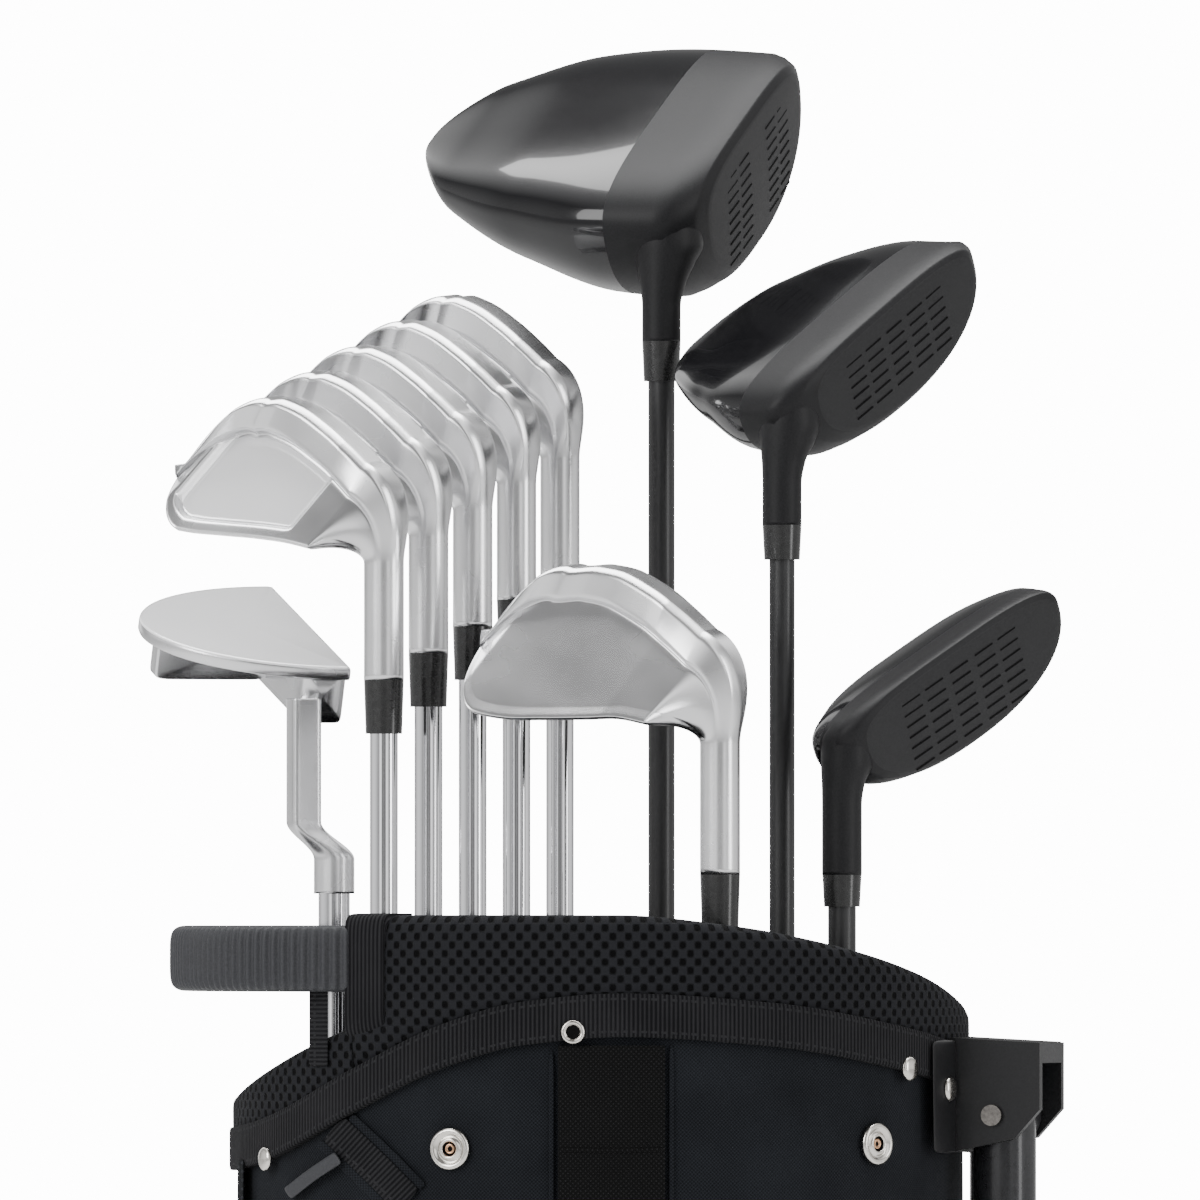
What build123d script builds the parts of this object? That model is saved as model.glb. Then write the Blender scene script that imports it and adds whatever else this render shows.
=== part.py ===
"""Golf club set: ten clubs standing grip down in a stand bag. Millimetres, +Z up, ground at Z = 0."""
from build123d import *
import os
from math import sin, cos, tan, radians

os.makedirs("parts", exist_ok=True)

# ---------------------------------------------------------------- driving dimensions
RIM_Z = 860.0            # top of the padded collar at the front
FLOOR_Z = 22.0           # inside floor of the bag, where every butt stands
BAG_A = 126.0            # half width of the bag body, left to right
BAG_B = 116.0            # half depth of the bag body, front to back
WALL = 3.0               # sewn fabric with its foam backing
COLLAR_A = 128.5         # outside of the padded collar
COLLAR_B = 118.5
MOUTH_A = 114.5          # inside of the collar
MOUTH_B = 105.5
NOTCH_X = -84.0          # the collar drops away to the left of this, under the carry handle
BAR = 6.0                # thickness of a divider bar
BOOT_H = 45.0
BOOT_WALL = 3.0
TIP_GAP = 0.3            # free space between pieces on different bodies

GRIP_D = 27.0
GRIP_TIP_D = 17.0
GRIP_L = 265.0
BUTT_GAP = 0.4
STEEL_D = 9.7            # iron shaft at the ferrule
FERRULE_D = 13.8


def save(block, name):
    """Label the finished piece and write it to its own file."""
    block.part.label = name
    export_step(block.part, f"parts/{name}.step")


def save_placed(block, name, plane):
    """Write a piece that was drawn in its own frame, set down on its plane."""
    placed = plane.location * block.part
    placed.label = name
    export_step(placed, f"parts/{name}.step")


# ---------------------------------------------------------------- the clubs' places and shapes
# Each club: place of its shaft, height of its ferrule's top, the way its toe points in plan (degrees
# from +X), lie, and height of the sole over the ferrule's top measured along the shaft.
IRON_STEP = 15.1
IRON_X0 = -74.8
IRON_RISE = 9.6
IRON_Y = [-59.5, -29.5, -2.5, 24.0, 50.5]
IRON_LOFT = [34.0, 31.0, 28.0, 25.5, 23.0]
IRON_NUMBER = [9, 8, 7, 6, 5]

clubs = []
for i in range(5):
    clubs.append(dict(name=f"iron_{IRON_NUMBER[i]}", kind="iron", x=IRON_X0 + i * IRON_STEP, y=IRON_Y[i],
                      top=RIM_Z + 81.0 + i * IRON_RISE, toe=155.0, lie=62.0, sole=71.0,
                      loft=IRON_LOFT[i], shaft=STEEL_D, ferrule=18.6))
clubs.append(dict(name="wedge", kind="wedge", x=40.8, y=-81.5, top=RIM_Z + 13.9, toe=160.0, lie=64.0,
                  sole=80.0, loft=52.0, shaft=STEEL_D, ferrule=18.6))
clubs.append(dict(name="driver", kind="wood", x=21.2, y=86.0, top=RIM_Z + 201.7, toe=65.0, lie=58.0,
                  sole=58.0, loft=10.5, shaft=9.3, ferrule=14.0))
clubs.append(dict(name="fairway_wood", kind="wood", x=62.8, y=-2.0, top=RIM_Z + 135.4, toe=44.0, lie=57.5,
                  sole=52.0, loft=15.0, shaft=8.8, ferrule=12.0))
clubs.append(dict(name="hybrid", kind="wood", x=83.0, y=-50.5, top=RIM_Z + 13.9, toe=33.0, lie=59.5,
                  sole=56.0, loft=21.0, shaft=9.7, ferrule=11.0))
PUTTER_X = -93.0
PUTTER_Y = 24.0
PUTTER_TOP = RIM_Z + 7.5
PUTTER_TOE = 110.0
PUTTER_LIE = 70.5
PUTTER_SHAFT_D = 11.0


def head_plane(x, y, z_sole, toe_deg, lie_deg):
    """The head's own frame: X to the toe, Y out of the face, Z from the sole to the crown."""
    toe = Vector(cos(radians(toe_deg)), sin(radians(toe_deg)), 0)
    up = Vector(0, 0, 1)
    lie = radians(lie_deg)
    return Plane(origin=(x, y, z_sole), x_dir=toe * sin(lie) + up * cos(lie),
                 z_dir=toe * cos(lie) - up * sin(lie))


def shaft_axis_plane(lie_deg, along):
    """In a head's frame: the plane square to the shaft, at a distance along it from the sole."""
    lie = radians(lie_deg)
    axis = Vector(-cos(lie), 0, sin(lie))
    return Plane(origin=axis * along, x_dir=(sin(lie), 0, cos(lie)), z_dir=axis)


# ---------------------------------------------------------------- wood heads
# outline of the shell at each height: (height, toe-side centre, depth centre, half length, half depth)
DRIVER_SHELL = [(0, 48, -30, 26, 42), (6, 46, -34, 46, 66), (22, 46, -30, 58, 78), (36, 46, -22, 56, 64),
                (48, 45, -14, 46, 46), (55, 44, -8, 26, 26)]
FAIRWAY_SHELL = [(0, 48, -18, 28, 26), (4, 47, -22, 42, 42), (14, 46, -20, 52, 52), (25, 46, -14, 49, 44),
                 (33, 45, -8, 38, 32), (37, 44, -6, 20, 18)]
HYBRID_SHELL = [(0, 48, -8, 30, 14), (4, 48, -10, 42, 24), (14, 48, -10, 50, 32), (24, 48, -6, 48, 28),
                (32, 47, -2, 38, 20), (36, 46, 0, 22, 12)]
WOODS = {"driver": (DRIVER_SHELL, 12.0, 14.0, 26.0), "fairway_wood": (FAIRWAY_SHELL, 9.0, 12.0, 20.0),
         "hybrid": (HYBRID_SHELL, 7.0, 10.0, 20.0)}
HOSEL_D = 13.6


def wood_head(club):
    """A lofted shell cut flat at the lofted face, with a flared neck round the shaft's axis."""
    shell, face_y, flare_r, flare_at = WOODS[club["name"]]
    loft_rad = radians(club["loft"])
    with BuildPart() as head:
        for height, centre_x, centre_y, half_x, half_y in shell:
            with BuildSketch(Plane.XY.offset(height)):
                with Locations((centre_x, centre_y)):
                    Ellipse(half_x, half_y)
        loft()
        face = Plane(origin=(0, face_y, 0), x_dir=(1, 0, 0), z_dir=(0, cos(loft_rad), sin(loft_rad)))
        with BuildSketch(face):
            Rectangle(400, 400)
        extrude(amount=80, mode=Mode.SUBTRACT)
        with BuildSketch(shaft_axis_plane(club["lie"], flare_at - 12)):
            Circle(flare_r)
        with BuildSketch(shaft_axis_plane(club["lie"], flare_at + 14)):
            Circle(HOSEL_D / 2)
        loft()
        with BuildSketch(shaft_axis_plane(club["lie"], flare_at + 13)):
            Circle(HOSEL_D / 2)
        extrude(amount=club["sole"] - flare_at - 13)
    return head


# ---------------------------------------------------------------- iron and wedge heads
BLADE = {"iron": dict(toe_x=67.0, toe_h=54.0, heel_h=31.0, sole_w=20.0, top_t=5.5, cavity=4.5),
         "wedge": dict(toe_x=74.0, toe_h=62.0, heel_h=33.0, sole_w=22.0, top_t=6.0, cavity=0.0)}
GROOVES = 9
GROOVE_PITCH = 3.6
GROOVE_W = 0.9


def blade_head(club):
    """A wedge-shaped blade with its cavity, grooves and hosel."""
    b = BLADE[club["kind"]]
    slope = tan(radians(club["loft"]))
    lean = cos(radians(club["loft"]))
    front = 4.5
    height = 64.0
    with BuildPart() as head:
        with BuildSketch(Plane.YZ.offset(-14)):
            with BuildLine():
                Polyline((front, 1.0), (front - height * slope, height),
                         (front - height * slope - b["top_t"], height),
                         (front - 13.0 * slope - b["top_t"] - 4.0, 13.0),
                         (front - b["sole_w"], 4.0), (front - b["sole_w"] + 3.0, 0.5),
                         (front - 6.0, -1.2), close=True)
            make_face()
        extrude(amount=100)
        with BuildSketch(Plane.XZ.offset(-60)):
            with BuildLine():
                Polyline((-10, 9), (0, -0.5), (30, -1.5), (60, 1), (b["toe_x"], 18 * lean),
                         (b["toe_x"] - 3, (b["toe_h"] - 4) * lean), (b["toe_x"] - 14, b["toe_h"] * lean),
                         (8, b["heel_h"] * lean), close=True)
            make_face()
            fillet(vertices(), radius=5)
        extrude(amount=160, mode=Mode.INTERSECT)
        if b["cavity"]:
            back = Plane(origin=(0, front - b["top_t"] + b["cavity"], 0), x_dir=(-1, 0, 0),
                         z_dir=(0, -cos(radians(club["loft"])), -sin(radians(club["loft"]))))
            with BuildSketch(back):
                with BuildLine():
                    Polyline((-62.0, 12.0), (-17.0, 11.0), (-19.0, 25.0), (-60.0, 43.0), (-65.0, 40.0),
                             close=True)
                make_face()
                fillet(vertices(), radius=3.0)
            extrude(amount=30, mode=Mode.SUBTRACT)
        groove_plane = Plane(origin=(0, front, 0), x_dir=(1, 0, 0),
                             z_dir=(0, cos(radians(club["loft"])), sin(radians(club["loft"]))))
        with BuildSketch(groove_plane):
            with Locations((38, 8 + (GROOVES - 1) / 2 * GROOVE_PITCH)):
                with GridLocations(1, GROOVE_PITCH, 1, GROOVES):
                    Rectangle(46, GROOVE_W)
        extrude(amount=-0.5, mode=Mode.SUBTRACT)
        with BuildSketch(shaft_axis_plane(club["lie"], 6)):
            Circle(FERRULE_D / 2)
        extrude(amount=club["sole"] - 6)
        with BuildSketch(Plane.XY.offset(-20)):
            Rectangle(60, 60)
        extrude(amount=19.5, mode=Mode.SUBTRACT)
    return head


# ---------------------------------------------------------------- ferrules, shafts and grips
def make_ferrule(club):
    """A tapered sleeve just under the hosel, with the shaft through it."""
    with BuildPart() as ferrule:
        with BuildSketch(Plane.XY.offset(club["top"] - club["ferrule"])):
            with Locations((club["x"], club["y"])):
                Circle(club["ferrule_d"] / 2 - 0.6)
        with BuildSketch(Plane.XY.offset(club["top"])):
            with Locations((club["x"], club["y"])):
                Circle(club["ferrule_d"] / 2)
        loft()
        with BuildSketch(Plane.XY.offset(club["top"] - club["ferrule"])):
            with Locations((club["x"], club["y"])):
                Circle(club["shaft"] / 2)
        extrude(amount=club["ferrule"], mode=Mode.SUBTRACT)
    save(ferrule, club["name"] + "_ferrule")


def make_shaft(name, x, y, diameter, top):
    """A tube from inside the grip to the head, where it ends against the hosel."""
    with BuildPart() as shaft:
        with BuildSketch(Plane.XY.offset(FLOOR_Z + 6)):
            with Locations((x, y)):
                Circle(diameter / 2)
                Circle(diameter / 2 - 1.2, mode=Mode.SUBTRACT)
        extrude(amount=top - FLOOR_Z - 6)
    save(shaft, name + "_shaft")


def make_grip(name, x, y, shaft_d):
    """A tapered rubber sleeve with a closed butt, standing on the bag's floor."""
    start = FLOOR_Z + BUTT_GAP
    with BuildPart() as grip:
        with BuildSketch(Plane.XY.offset(start)):
            with Locations((x, y)):
                Circle(GRIP_D / 2)
        with BuildSketch(Plane.XY.offset(start + GRIP_L)):
            with Locations((x, y)):
                Circle(GRIP_TIP_D / 2)
        loft()
        with BuildSketch(Plane.XY.offset(FLOOR_Z + 6)):
            with Locations((x, y)):
                Circle(shaft_d / 2)
        extrude(amount=GRIP_L, mode=Mode.SUBTRACT)
        fillet(grip.edges().group_by(Axis.Z)[0], radius=3.0)
    save(grip, name + "_grip")


for club in clubs:
    plane = head_plane(club["x"], club["y"], club["top"] + club["sole"], club["toe"], club["lie"])
    club["ferrule_d"] = HOSEL_D if club["kind"] == "wood" else FERRULE_D
    head = wood_head(club) if club["kind"] == "wood" else blade_head(club)
    save_placed(head, club["name"] + "_head", plane)
    make_ferrule(club)
    make_shaft(club["name"], club["x"], club["y"], club["shaft"], club["top"])
    make_grip(club["name"], club["x"], club["y"], club["shaft"])

# ---------------------------------------------------------------- putter
# half-round head: flat face at Y = 0, sole plate with a crowned edge, heel block, bent flat neck
PUTTER_LEN = 90.0
PUTTER_DEPTH = 62.0
PUTTER_H = 22.0
PUTTER_FACE = 5.0
putter_plane = head_plane(PUTTER_X, PUTTER_Y, PUTTER_TOP + 80.0, PUTTER_TOE, PUTTER_LIE)
NECK_BAR = (3.5, -10.0)
with BuildPart() as putter_head:
    with BuildSketch(Plane.XY):
        with BuildLine():
            Line((-4, PUTTER_FACE), (PUTTER_LEN - 4, PUTTER_FACE))
            ThreePointArc((PUTTER_LEN - 4, PUTTER_FACE), (PUTTER_LEN / 2 - 4, PUTTER_FACE - PUTTER_DEPTH),
                          (-4, PUTTER_FACE))
        make_face()
    extrude(amount=5)
    with BuildSketch(Plane.XY):
        with Locations((PUTTER_LEN / 2 - 4, PUTTER_FACE - 9)):
            Rectangle(PUTTER_LEN - 12, 14)
        with Locations((PUTTER_LEN / 2 - 4, PUTTER_FACE - 32)):
            Rectangle(7, 46)
    extrude(amount=PUTTER_H)
    with BuildSketch(shaft_axis_plane(PUTTER_LIE, 12)):
        with Locations(NECK_BAR):
            Rectangle(10, 10.5)
    extrude(amount=56)
    with BuildSketch(shaft_axis_plane(PUTTER_LIE, 56)):
        Circle(7.1)
        with Locations(NECK_BAR):
            Rectangle(10, 10.5)
        make_hull()
    extrude(amount=11)
    with BuildSketch(shaft_axis_plane(PUTTER_LIE, 66)):
        Circle(7.1)
    extrude(amount=14)
save_placed(putter_head, "putter_head", putter_plane)
make_shaft("putter", PUTTER_X, PUTTER_Y, PUTTER_SHAFT_D, PUTTER_TOP)
make_grip("putter", PUTTER_X, PUTTER_Y, PUTTER_SHAFT_D)

# ---------------------------------------------------------------- bag: shared outlines
# Heights of the collar's edges, seen from the front, as (X, height below the rim).
TOP_EDGE = [(6.6, 0), (46, -3.5), (80, -9.7), (109, -19), (124, -29), (131, -44)]
NOTCH_EDGE = [(-84, -37), (-98, -43), (-110, -49.5), (-122, -58), (-131, -68)]
BAND_TOP = [(-131, -75), (-115, -70.1), (-83.7, -52.4), (-52.4, -36.8), (-26.4, -29.5), (6.6, -26.7),
            (57.3, -29.9), (103, -38.5), (131, -48)]
BAND_W = 15.0
DEEP = 400.0             # reaches past every side of the bag


def contour(points, drop):
    """A contour's points at their real heights, lowered by a drop."""
    return [(x, RIM_Z + z - drop) for x, z in points]


def oval_ring(outer_a, outer_b, inner_a, inner_b):
    """A flat oval ring, for extruding into a wall."""
    with BuildSketch(mode=Mode.PRIVATE) as ring:
        Ellipse(outer_a, outer_b)
        Ellipse(inner_a, inner_b, mode=Mode.SUBTRACT)
    return ring.sketch


# ---------------------------------------------------------------- bag body, base and base foot
FOOT_PIVOT_X = 98.0
FOOT_PIVOT_Z = 5.0
FOOT_MID_X = 57.5
FOOT_L = 95.0
FOOT_W = 112.0
FOOT_T = 4.6
FOOT_CLEAR = 0.8
LEVER_W = 30.0
LEVER_X = 142.0
PIN_D = 4.0
PIN_FIT = 0.05
RIDE_Z = FOOT_CLEAR + 0.2

with BuildPart() as base_boot:
    with BuildSketch(Plane.XY):
        Ellipse(BAG_A + 0.2 + BOOT_WALL, BAG_B + 0.2 + BOOT_WALL)
    extrude(amount=BOOT_H)
    fillet(base_boot.edges().group_by(Axis.Z)[-1], radius=2)
    with BuildSketch(Plane.XY.offset(FLOOR_Z)):
        Ellipse(BAG_A + 0.2, BAG_B + 0.2)
    extrude(amount=BOOT_H, mode=Mode.SUBTRACT)
    with BuildSketch(Plane.XY):
        with Locations((FOOT_MID_X, 0)):
            Rectangle(FOOT_L + 7, FOOT_W + 2 * FOOT_CLEAR)
    extrude(amount=RIDE_Z + FOOT_T + 4.5, mode=Mode.SUBTRACT)
    with BuildSketch(Plane.XY):
        with Locations((FOOT_PIVOT_X + 22, 0)):
            Rectangle(50, LEVER_W + 2 * FOOT_CLEAR)
    extrude(amount=FLOOR_Z - 3, mode=Mode.SUBTRACT)
    with BuildSketch(Plane.XZ.offset(-FOOT_W / 2 - 8)):
        with Locations((FOOT_PIVOT_X, FOOT_PIVOT_Z)):
            Circle(PIN_D / 2)
    extrude(amount=FOOT_W + 16, mode=Mode.SUBTRACT)
save(base_boot, "base_boot")

with BuildPart() as base_foot:
    with BuildSketch(Plane.XY.offset(RIDE_Z)):
        with Locations((FOOT_MID_X, 0)):
            RectangleRounded(FOOT_L, FOOT_W, 3)
        with Locations(((FOOT_PIVOT_X + LEVER_X) / 2, 0)):
            Rectangle(LEVER_X - FOOT_PIVOT_X, LEVER_W)
    extrude(amount=FOOT_T)
    with BuildSketch(Plane.XZ.offset(-FOOT_W / 2)):
        with Locations((FOOT_PIVOT_X, FOOT_PIVOT_Z)):
            Circle(3.8)
    extrude(amount=FOOT_W)
    with BuildSketch(Plane.XZ.offset(-FOOT_W / 2)):
        with Locations((FOOT_PIVOT_X, FOOT_PIVOT_Z)):
            Circle(PIN_D / 2 + PIN_FIT)
    extrude(amount=FOOT_W, mode=Mode.SUBTRACT)
save(base_foot, "base_foot")

with BuildPart() as bag_body:
    with BuildSketch(Plane.XY.offset(FLOOR_Z)):
        add(oval_ring(BAG_A, BAG_B, BAG_A - WALL, BAG_B - WALL))
    extrude(amount=RIM_Z)
    with BuildSketch(Plane.XZ.offset(-DEEP / 2)):
        with BuildLine():
            edge = contour(BAND_TOP, 2)
            Spline(*edge)
            Polyline(edge[-1], (200, edge[-1][1]), (200, -10), (-200, -10), (-200, edge[0][1]), edge[0])
        make_face()
    extrude(amount=DEEP, mode=Mode.INTERSECT)
save(bag_body, "bag_body")

# ---------------------------------------------------------------- collar
with BuildPart() as collar_frame:
    with BuildSketch(Plane.XY.offset(RIM_Z - 130)):
        add(oval_ring(BAG_A - WALL - 0.1, BAG_B - WALL - 0.1, MOUTH_A, MOUTH_B))
    extrude(amount=130)
    with BuildSketch(Plane.XY.offset(RIM_Z - 100)):
        with Locations((3.5, 0)):
            Rectangle(BAR, 2 * MOUTH_B + 4)
        with Locations((60, 22)):
            Rectangle(2 * 55, BAR)
        with Locations(Location((-70, 5.7), 60)):
            Rectangle(190, BAR)
    extrude(amount=100)
    with BuildSketch(Plane.XZ.offset(-DEEP / 2)):
        with BuildLine():
            edge = contour(BAND_TOP, 0)
            Spline(*edge)
            Polyline(edge[-1], (200, edge[-1][1]), (200, -10), (-200, -10), (-200, edge[0][1]), edge[0])
        make_face()
    extrude(amount=DEEP, mode=Mode.INTERSECT)
    with BuildSketch(Plane.XY):
        Ellipse(BAG_A - WALL - 0.1, BAG_B - WALL - 0.1)
    extrude(amount=RIM_Z + 10, mode=Mode.INTERSECT)
save(collar_frame, "collar_frame")

with BuildPart() as collar_pad:
    with BuildSketch(Plane.XY.offset(RIM_Z - 100)):
        add(oval_ring(COLLAR_A, COLLAR_B, MOUTH_A, MOUTH_B))
    extrude(amount=110)
    with BuildSketch(Plane.XZ.offset(-DEEP / 2)):
        with BuildLine():
            band = contour(BAND_TOP, -0.1)
            top = contour(TOP_EDGE, 0)
            notch = contour(NOTCH_EDGE, 0)
            Spline(*band)
            Spline(*top)
            Spline(*notch)
            Line(band[-1], top[-1])
            Polyline(top[0], (NOTCH_X, RIM_Z), notch[0])
            Line(notch[-1], band[0])
        make_face()
    extrude(amount=DEEP, mode=Mode.INTERSECT)
save(collar_pad, "collar_pad")

with BuildPart() as collar_webbing:
    with BuildSketch(Plane.XY.offset(RIM_Z - 110)):
        add(oval_ring(COLLAR_A, COLLAR_B, BAG_A + 0.1, BAG_B + 0.1))
    extrude(amount=110)
    with BuildSketch(Plane.XZ.offset(-DEEP / 2)):
        with BuildLine():
            upper = contour(BAND_TOP, 0)
            lower = contour(BAND_TOP, BAND_W)
            Spline(*upper)
            Spline(*lower)
            Line(upper[0], lower[0])
            Line(upper[-1], lower[-1])
        make_face()
    extrude(amount=DEEP, mode=Mode.INTERSECT)
save(collar_webbing, "collar_webbing")

# fabric walls that hang from the divider bars to just over the floor
PANEL_T = 1.6
with BuildPart() as divider_panels:
    with BuildSketch(Plane.XY.offset(FLOOR_Z + 6)):
        with Locations((3.5, 0)):
            Rectangle(PANEL_T, 2 * MOUTH_B + 10)
        with Locations((60, 22)):
            Rectangle(112, PANEL_T)
        with Locations(Location((-70, 5.7), 60)):
            Rectangle(190, PANEL_T)
    extrude(amount=RIM_Z - 130.5 - FLOOR_Z - 6)
    with BuildSketch(Plane.XY):
        Ellipse(BAG_A - WALL - 1.5, BAG_B - WALL - 1.5)
    extrude(amount=RIM_Z, mode=Mode.INTERSECT)
save(divider_panels, "divider_panels")

# ---------------------------------------------------------------- carry handle: half a ring past the notch
HANDLE_TOP = RIM_Z - 3.5
HANDLE_H = 22.9
with BuildPart() as carry_handle:
    with BuildSketch(Plane.XY.offset(HANDLE_TOP - HANDLE_H)):
        with Locations((NOTCH_X - 0.7, 0)):
            Ellipse(65.1, 89)
            Ellipse(50, 75, mode=Mode.SUBTRACT)
        with Locations((NOTCH_X - 0.7 + 100, 0)):
            Rectangle(200, 200, mode=Mode.SUBTRACT)
    extrude(amount=HANDLE_H)
    fillet(carry_handle.edges().filter_by(GeomType.ELLIPSE), radius=3)
save(carry_handle, "carry_handle")

# ---------------------------------------------------------------- stand: brackets, legs, tips, push rod
LEG_X = 139.4
LEG_Y = 33.0
LEG_D = 20.0
LEG_TURN = 18.0          # the legs part as they swing out, because their pivots are turned in plan
PIVOT_Z = RIM_Z - 69.0
CHEEK_GAP = 22.6
CHEEK_T = 3.5
LEG_LOW_Z = 70.0
TIP_L = 34.0

legs = {"near": -1, "far": 1}


def leg_pivot(side):
    """The pivot's plane: X out of the bag, Z along the pin, turned in plan so that the legs part."""
    turn = radians(LEG_TURN)
    return Plane(origin=(LEG_X, side * LEG_Y, PIVOT_Z), x_dir=(cos(turn), side * sin(turn), 0),
                 z_dir=(side * sin(turn), -cos(turn), 0))


with BuildPart() as leg_brackets:
    for side in legs.values():
        pivot = leg_pivot(side)
        with BuildSketch(pivot.offset(-CHEEK_GAP / 2 - CHEEK_T)):
            with BuildLine():
                Polyline((-20, 27), (17, 25), (17, 2), (8, -8), (-20, -14), close=True)
            make_face()
        extrude(amount=2 * CHEEK_T + CHEEK_GAP)
        with BuildSketch(pivot.offset(-CHEEK_GAP / 2)):
            with Locations((10, -14)):
                Rectangle(46, 64)
        extrude(amount=CHEEK_GAP, mode=Mode.SUBTRACT)
        with BuildSketch(pivot.offset(-30)):
            Circle(PIN_D / 2)
        extrude(amount=60, mode=Mode.SUBTRACT)
    with BuildSketch(Plane.XY):
        Ellipse(COLLAR_A + 0.2, COLLAR_B + 0.2)
    extrude(amount=RIM_Z, mode=Mode.SUBTRACT)
save(leg_brackets, "leg_brackets")

for leg_name, side in legs.items():
    pivot = leg_pivot(side)
    with BuildPart() as leg:
        with BuildSketch(Plane.XY.offset(LEG_LOW_Z)):
            with Locations((LEG_X, side * LEG_Y)):
                Circle(LEG_D / 2 - 2)
        extrude(amount=PIVOT_Z - LEG_LOW_Z)
        with BuildSketch(Plane.XY.offset(PIVOT_Z - 90)):
            with Locations((LEG_X, side * LEG_Y)):
                Circle(LEG_D / 2 + 0.9)
        extrude(amount=90)
        with BuildSketch(pivot.offset(-LEG_D / 2)):
            Circle(LEG_D / 2 + 0.3)
        extrude(amount=LEG_D)
        with BuildSketch(pivot.offset(-20)):
            Circle(PIN_D / 2 + PIN_FIT)
        extrude(amount=40, mode=Mode.SUBTRACT)
    save(leg, f"leg_{leg_name}")
    with BuildPart() as tip:
        with BuildSketch(Plane.XY.offset(LEG_LOW_Z - 6)):
            with Locations((LEG_X, side * LEG_Y)):
                Circle(LEG_D / 2 + 2)
        extrude(amount=TIP_L)
        fillet(tip.edges().group_by(Axis.Z)[0], radius=6)
        with BuildSketch(Plane.XY.offset(LEG_LOW_Z)):
            with Locations((LEG_X, side * LEG_Y)):
                Circle(LEG_D / 2 - 2)
        extrude(amount=TIP_L, mode=Mode.SUBTRACT)
    save(tip, f"leg_tip_{leg_name}")

with BuildPart() as hinge_pins:
    with BuildSketch(Plane.XZ.offset(-FOOT_W / 2 - 7)):
        with Locations((FOOT_PIVOT_X, FOOT_PIVOT_Z)):
            Circle(PIN_D / 2)
    extrude(amount=FOOT_W + 14)
    for side in legs.values():
        pivot = leg_pivot(side)
        pin_half = CHEEK_GAP / 2 + CHEEK_T
        with BuildSketch(pivot.offset(-pin_half)):
            Circle(PIN_D / 2)
        extrude(amount=2 * pin_half)
        with BuildSketch(pivot.offset(pin_half)):
            Circle(3.65)
        extrude(amount=1.6)
save(hinge_pins, "hinge_pins")

ROD_X = 134.5
ROD_D = 5.0
ROD_TOP = PIVOT_Z - 60
with BuildPart() as push_rod:
    with BuildSketch(Plane.XY.offset(RIDE_Z + FOOT_T + TIP_GAP)):
        with Locations((ROD_X, 0)):
            Circle(ROD_D / 2)
    extrude(amount=ROD_TOP - RIDE_Z - FOOT_T - TIP_GAP)
    with BuildSketch(Plane.XY.offset(ROD_TOP - 8)):
        with Locations((ROD_X, 0)):
            RectangleRounded(7, 2 * (LEG_Y - LEG_D / 2) - 7, 2)
    extrude(amount=8)
save(push_rod, "push_rod")

# ---------------------------------------------------------------- rivets, snap sockets, hook panel
def wall_point(x, z, out):
    """A plane on the front of the bag's wall at X, with its normal pointing out of the wall."""
    y = -BAG_B * (1 - (x / BAG_A) ** 2) ** 0.5
    normal = Vector(x / BAG_A ** 2, y / BAG_B ** 2, 0).normalized()
    return Plane(origin=Vector(x, y, RIM_Z + z) + normal * out, z_dir=normal)


RIVETS = [(-113.2, -84.0), (103.8, -52.8), (-9.4, -39.9)]
SNAPS = [(-51.4, -79.9), (94.1, -78.5)]
with BuildPart() as rivets:
    for x, z in RIVETS:
        with BuildSketch(wall_point(x, z, 2.7)):
            Circle(4.2)
        extrude(amount=1.2)
    fillet(rivets.faces().edges().filter_by(GeomType.CIRCLE), radius=0.4)
save(rivets, "rivets")
with BuildPart() as snap_sockets:
    for x, z in SNAPS:
        with BuildSketch(wall_point(x, z, 0.3)):
            Circle(7.3)
            Circle(2.1, mode=Mode.SUBTRACT)
        extrude(amount=2.2)
save(snap_sockets, "snap_sockets")

PANEL_LOW = 560.0
with BuildPart() as hook_panel:
    with BuildSketch(Plane.XY.offset(PANEL_LOW)):
        add(oval_ring(BAG_A + 1.9, BAG_B + 1.9, BAG_A + 0.1, BAG_B + 0.1))
    extrude(amount=RIM_Z - 45 - PANEL_LOW)
    with BuildSketch(Plane.XZ.offset(0)):
        with Locations((3.5, RIM_Z / 2)):
            Rectangle(36, RIM_Z)
    extrude(amount=DEEP, mode=Mode.INTERSECT)
save(hook_panel, "hook_panel")

# ---------------------------------------------------------------- pockets and strap
with BuildPart() as ball_pocket:
    with BuildSketch(Plane.XY.offset(BOOT_H + 20)):
        with Locations((0, 6)):
            Ellipse(BAG_A + 8, BAG_B + 42)
        Ellipse(BAG_A + 0.4, BAG_B + 0.4, mode=Mode.SUBTRACT)
        with Locations((0, 240)):
            Rectangle(400, 640, mode=Mode.SUBTRACT)
    extrude(amount=270)
save(ball_pocket, "ball_pocket")
with BuildPart() as garment_pocket:
    with BuildSketch(Plane.XY.offset(BOOT_H + 20)):
        with Locations((0, -6)):
            Ellipse(BAG_A + 6, BAG_B + 38)
        Ellipse(BAG_A + 0.4, BAG_B + 0.4, mode=Mode.SUBTRACT)
        with Locations((0, -240)):
            Rectangle(400, 620, mode=Mode.SUBTRACT)
    extrude(amount=620)
save(garment_pocket, "garment_pocket")

STRAP_W = 58.0
with BuildPart() as shoulder_strap:
    with BuildSketch(Plane.XZ.offset(-STRAP_W / 2)):
        with BuildLine():
            Spline((-131, 742), (-147, 700), (-150, 600), (-147, 480), (-131, 420))
            Spline((-139, 748), (-158, 702), (-162, 600), (-158, 478), (-139, 414))
            Line((-131, 742), (-139, 748))
            Line((-131, 420), (-139, 414))
        make_face()
    extrude(amount=STRAP_W)
save(shoulder_strap, "shoulder_strap")
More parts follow.
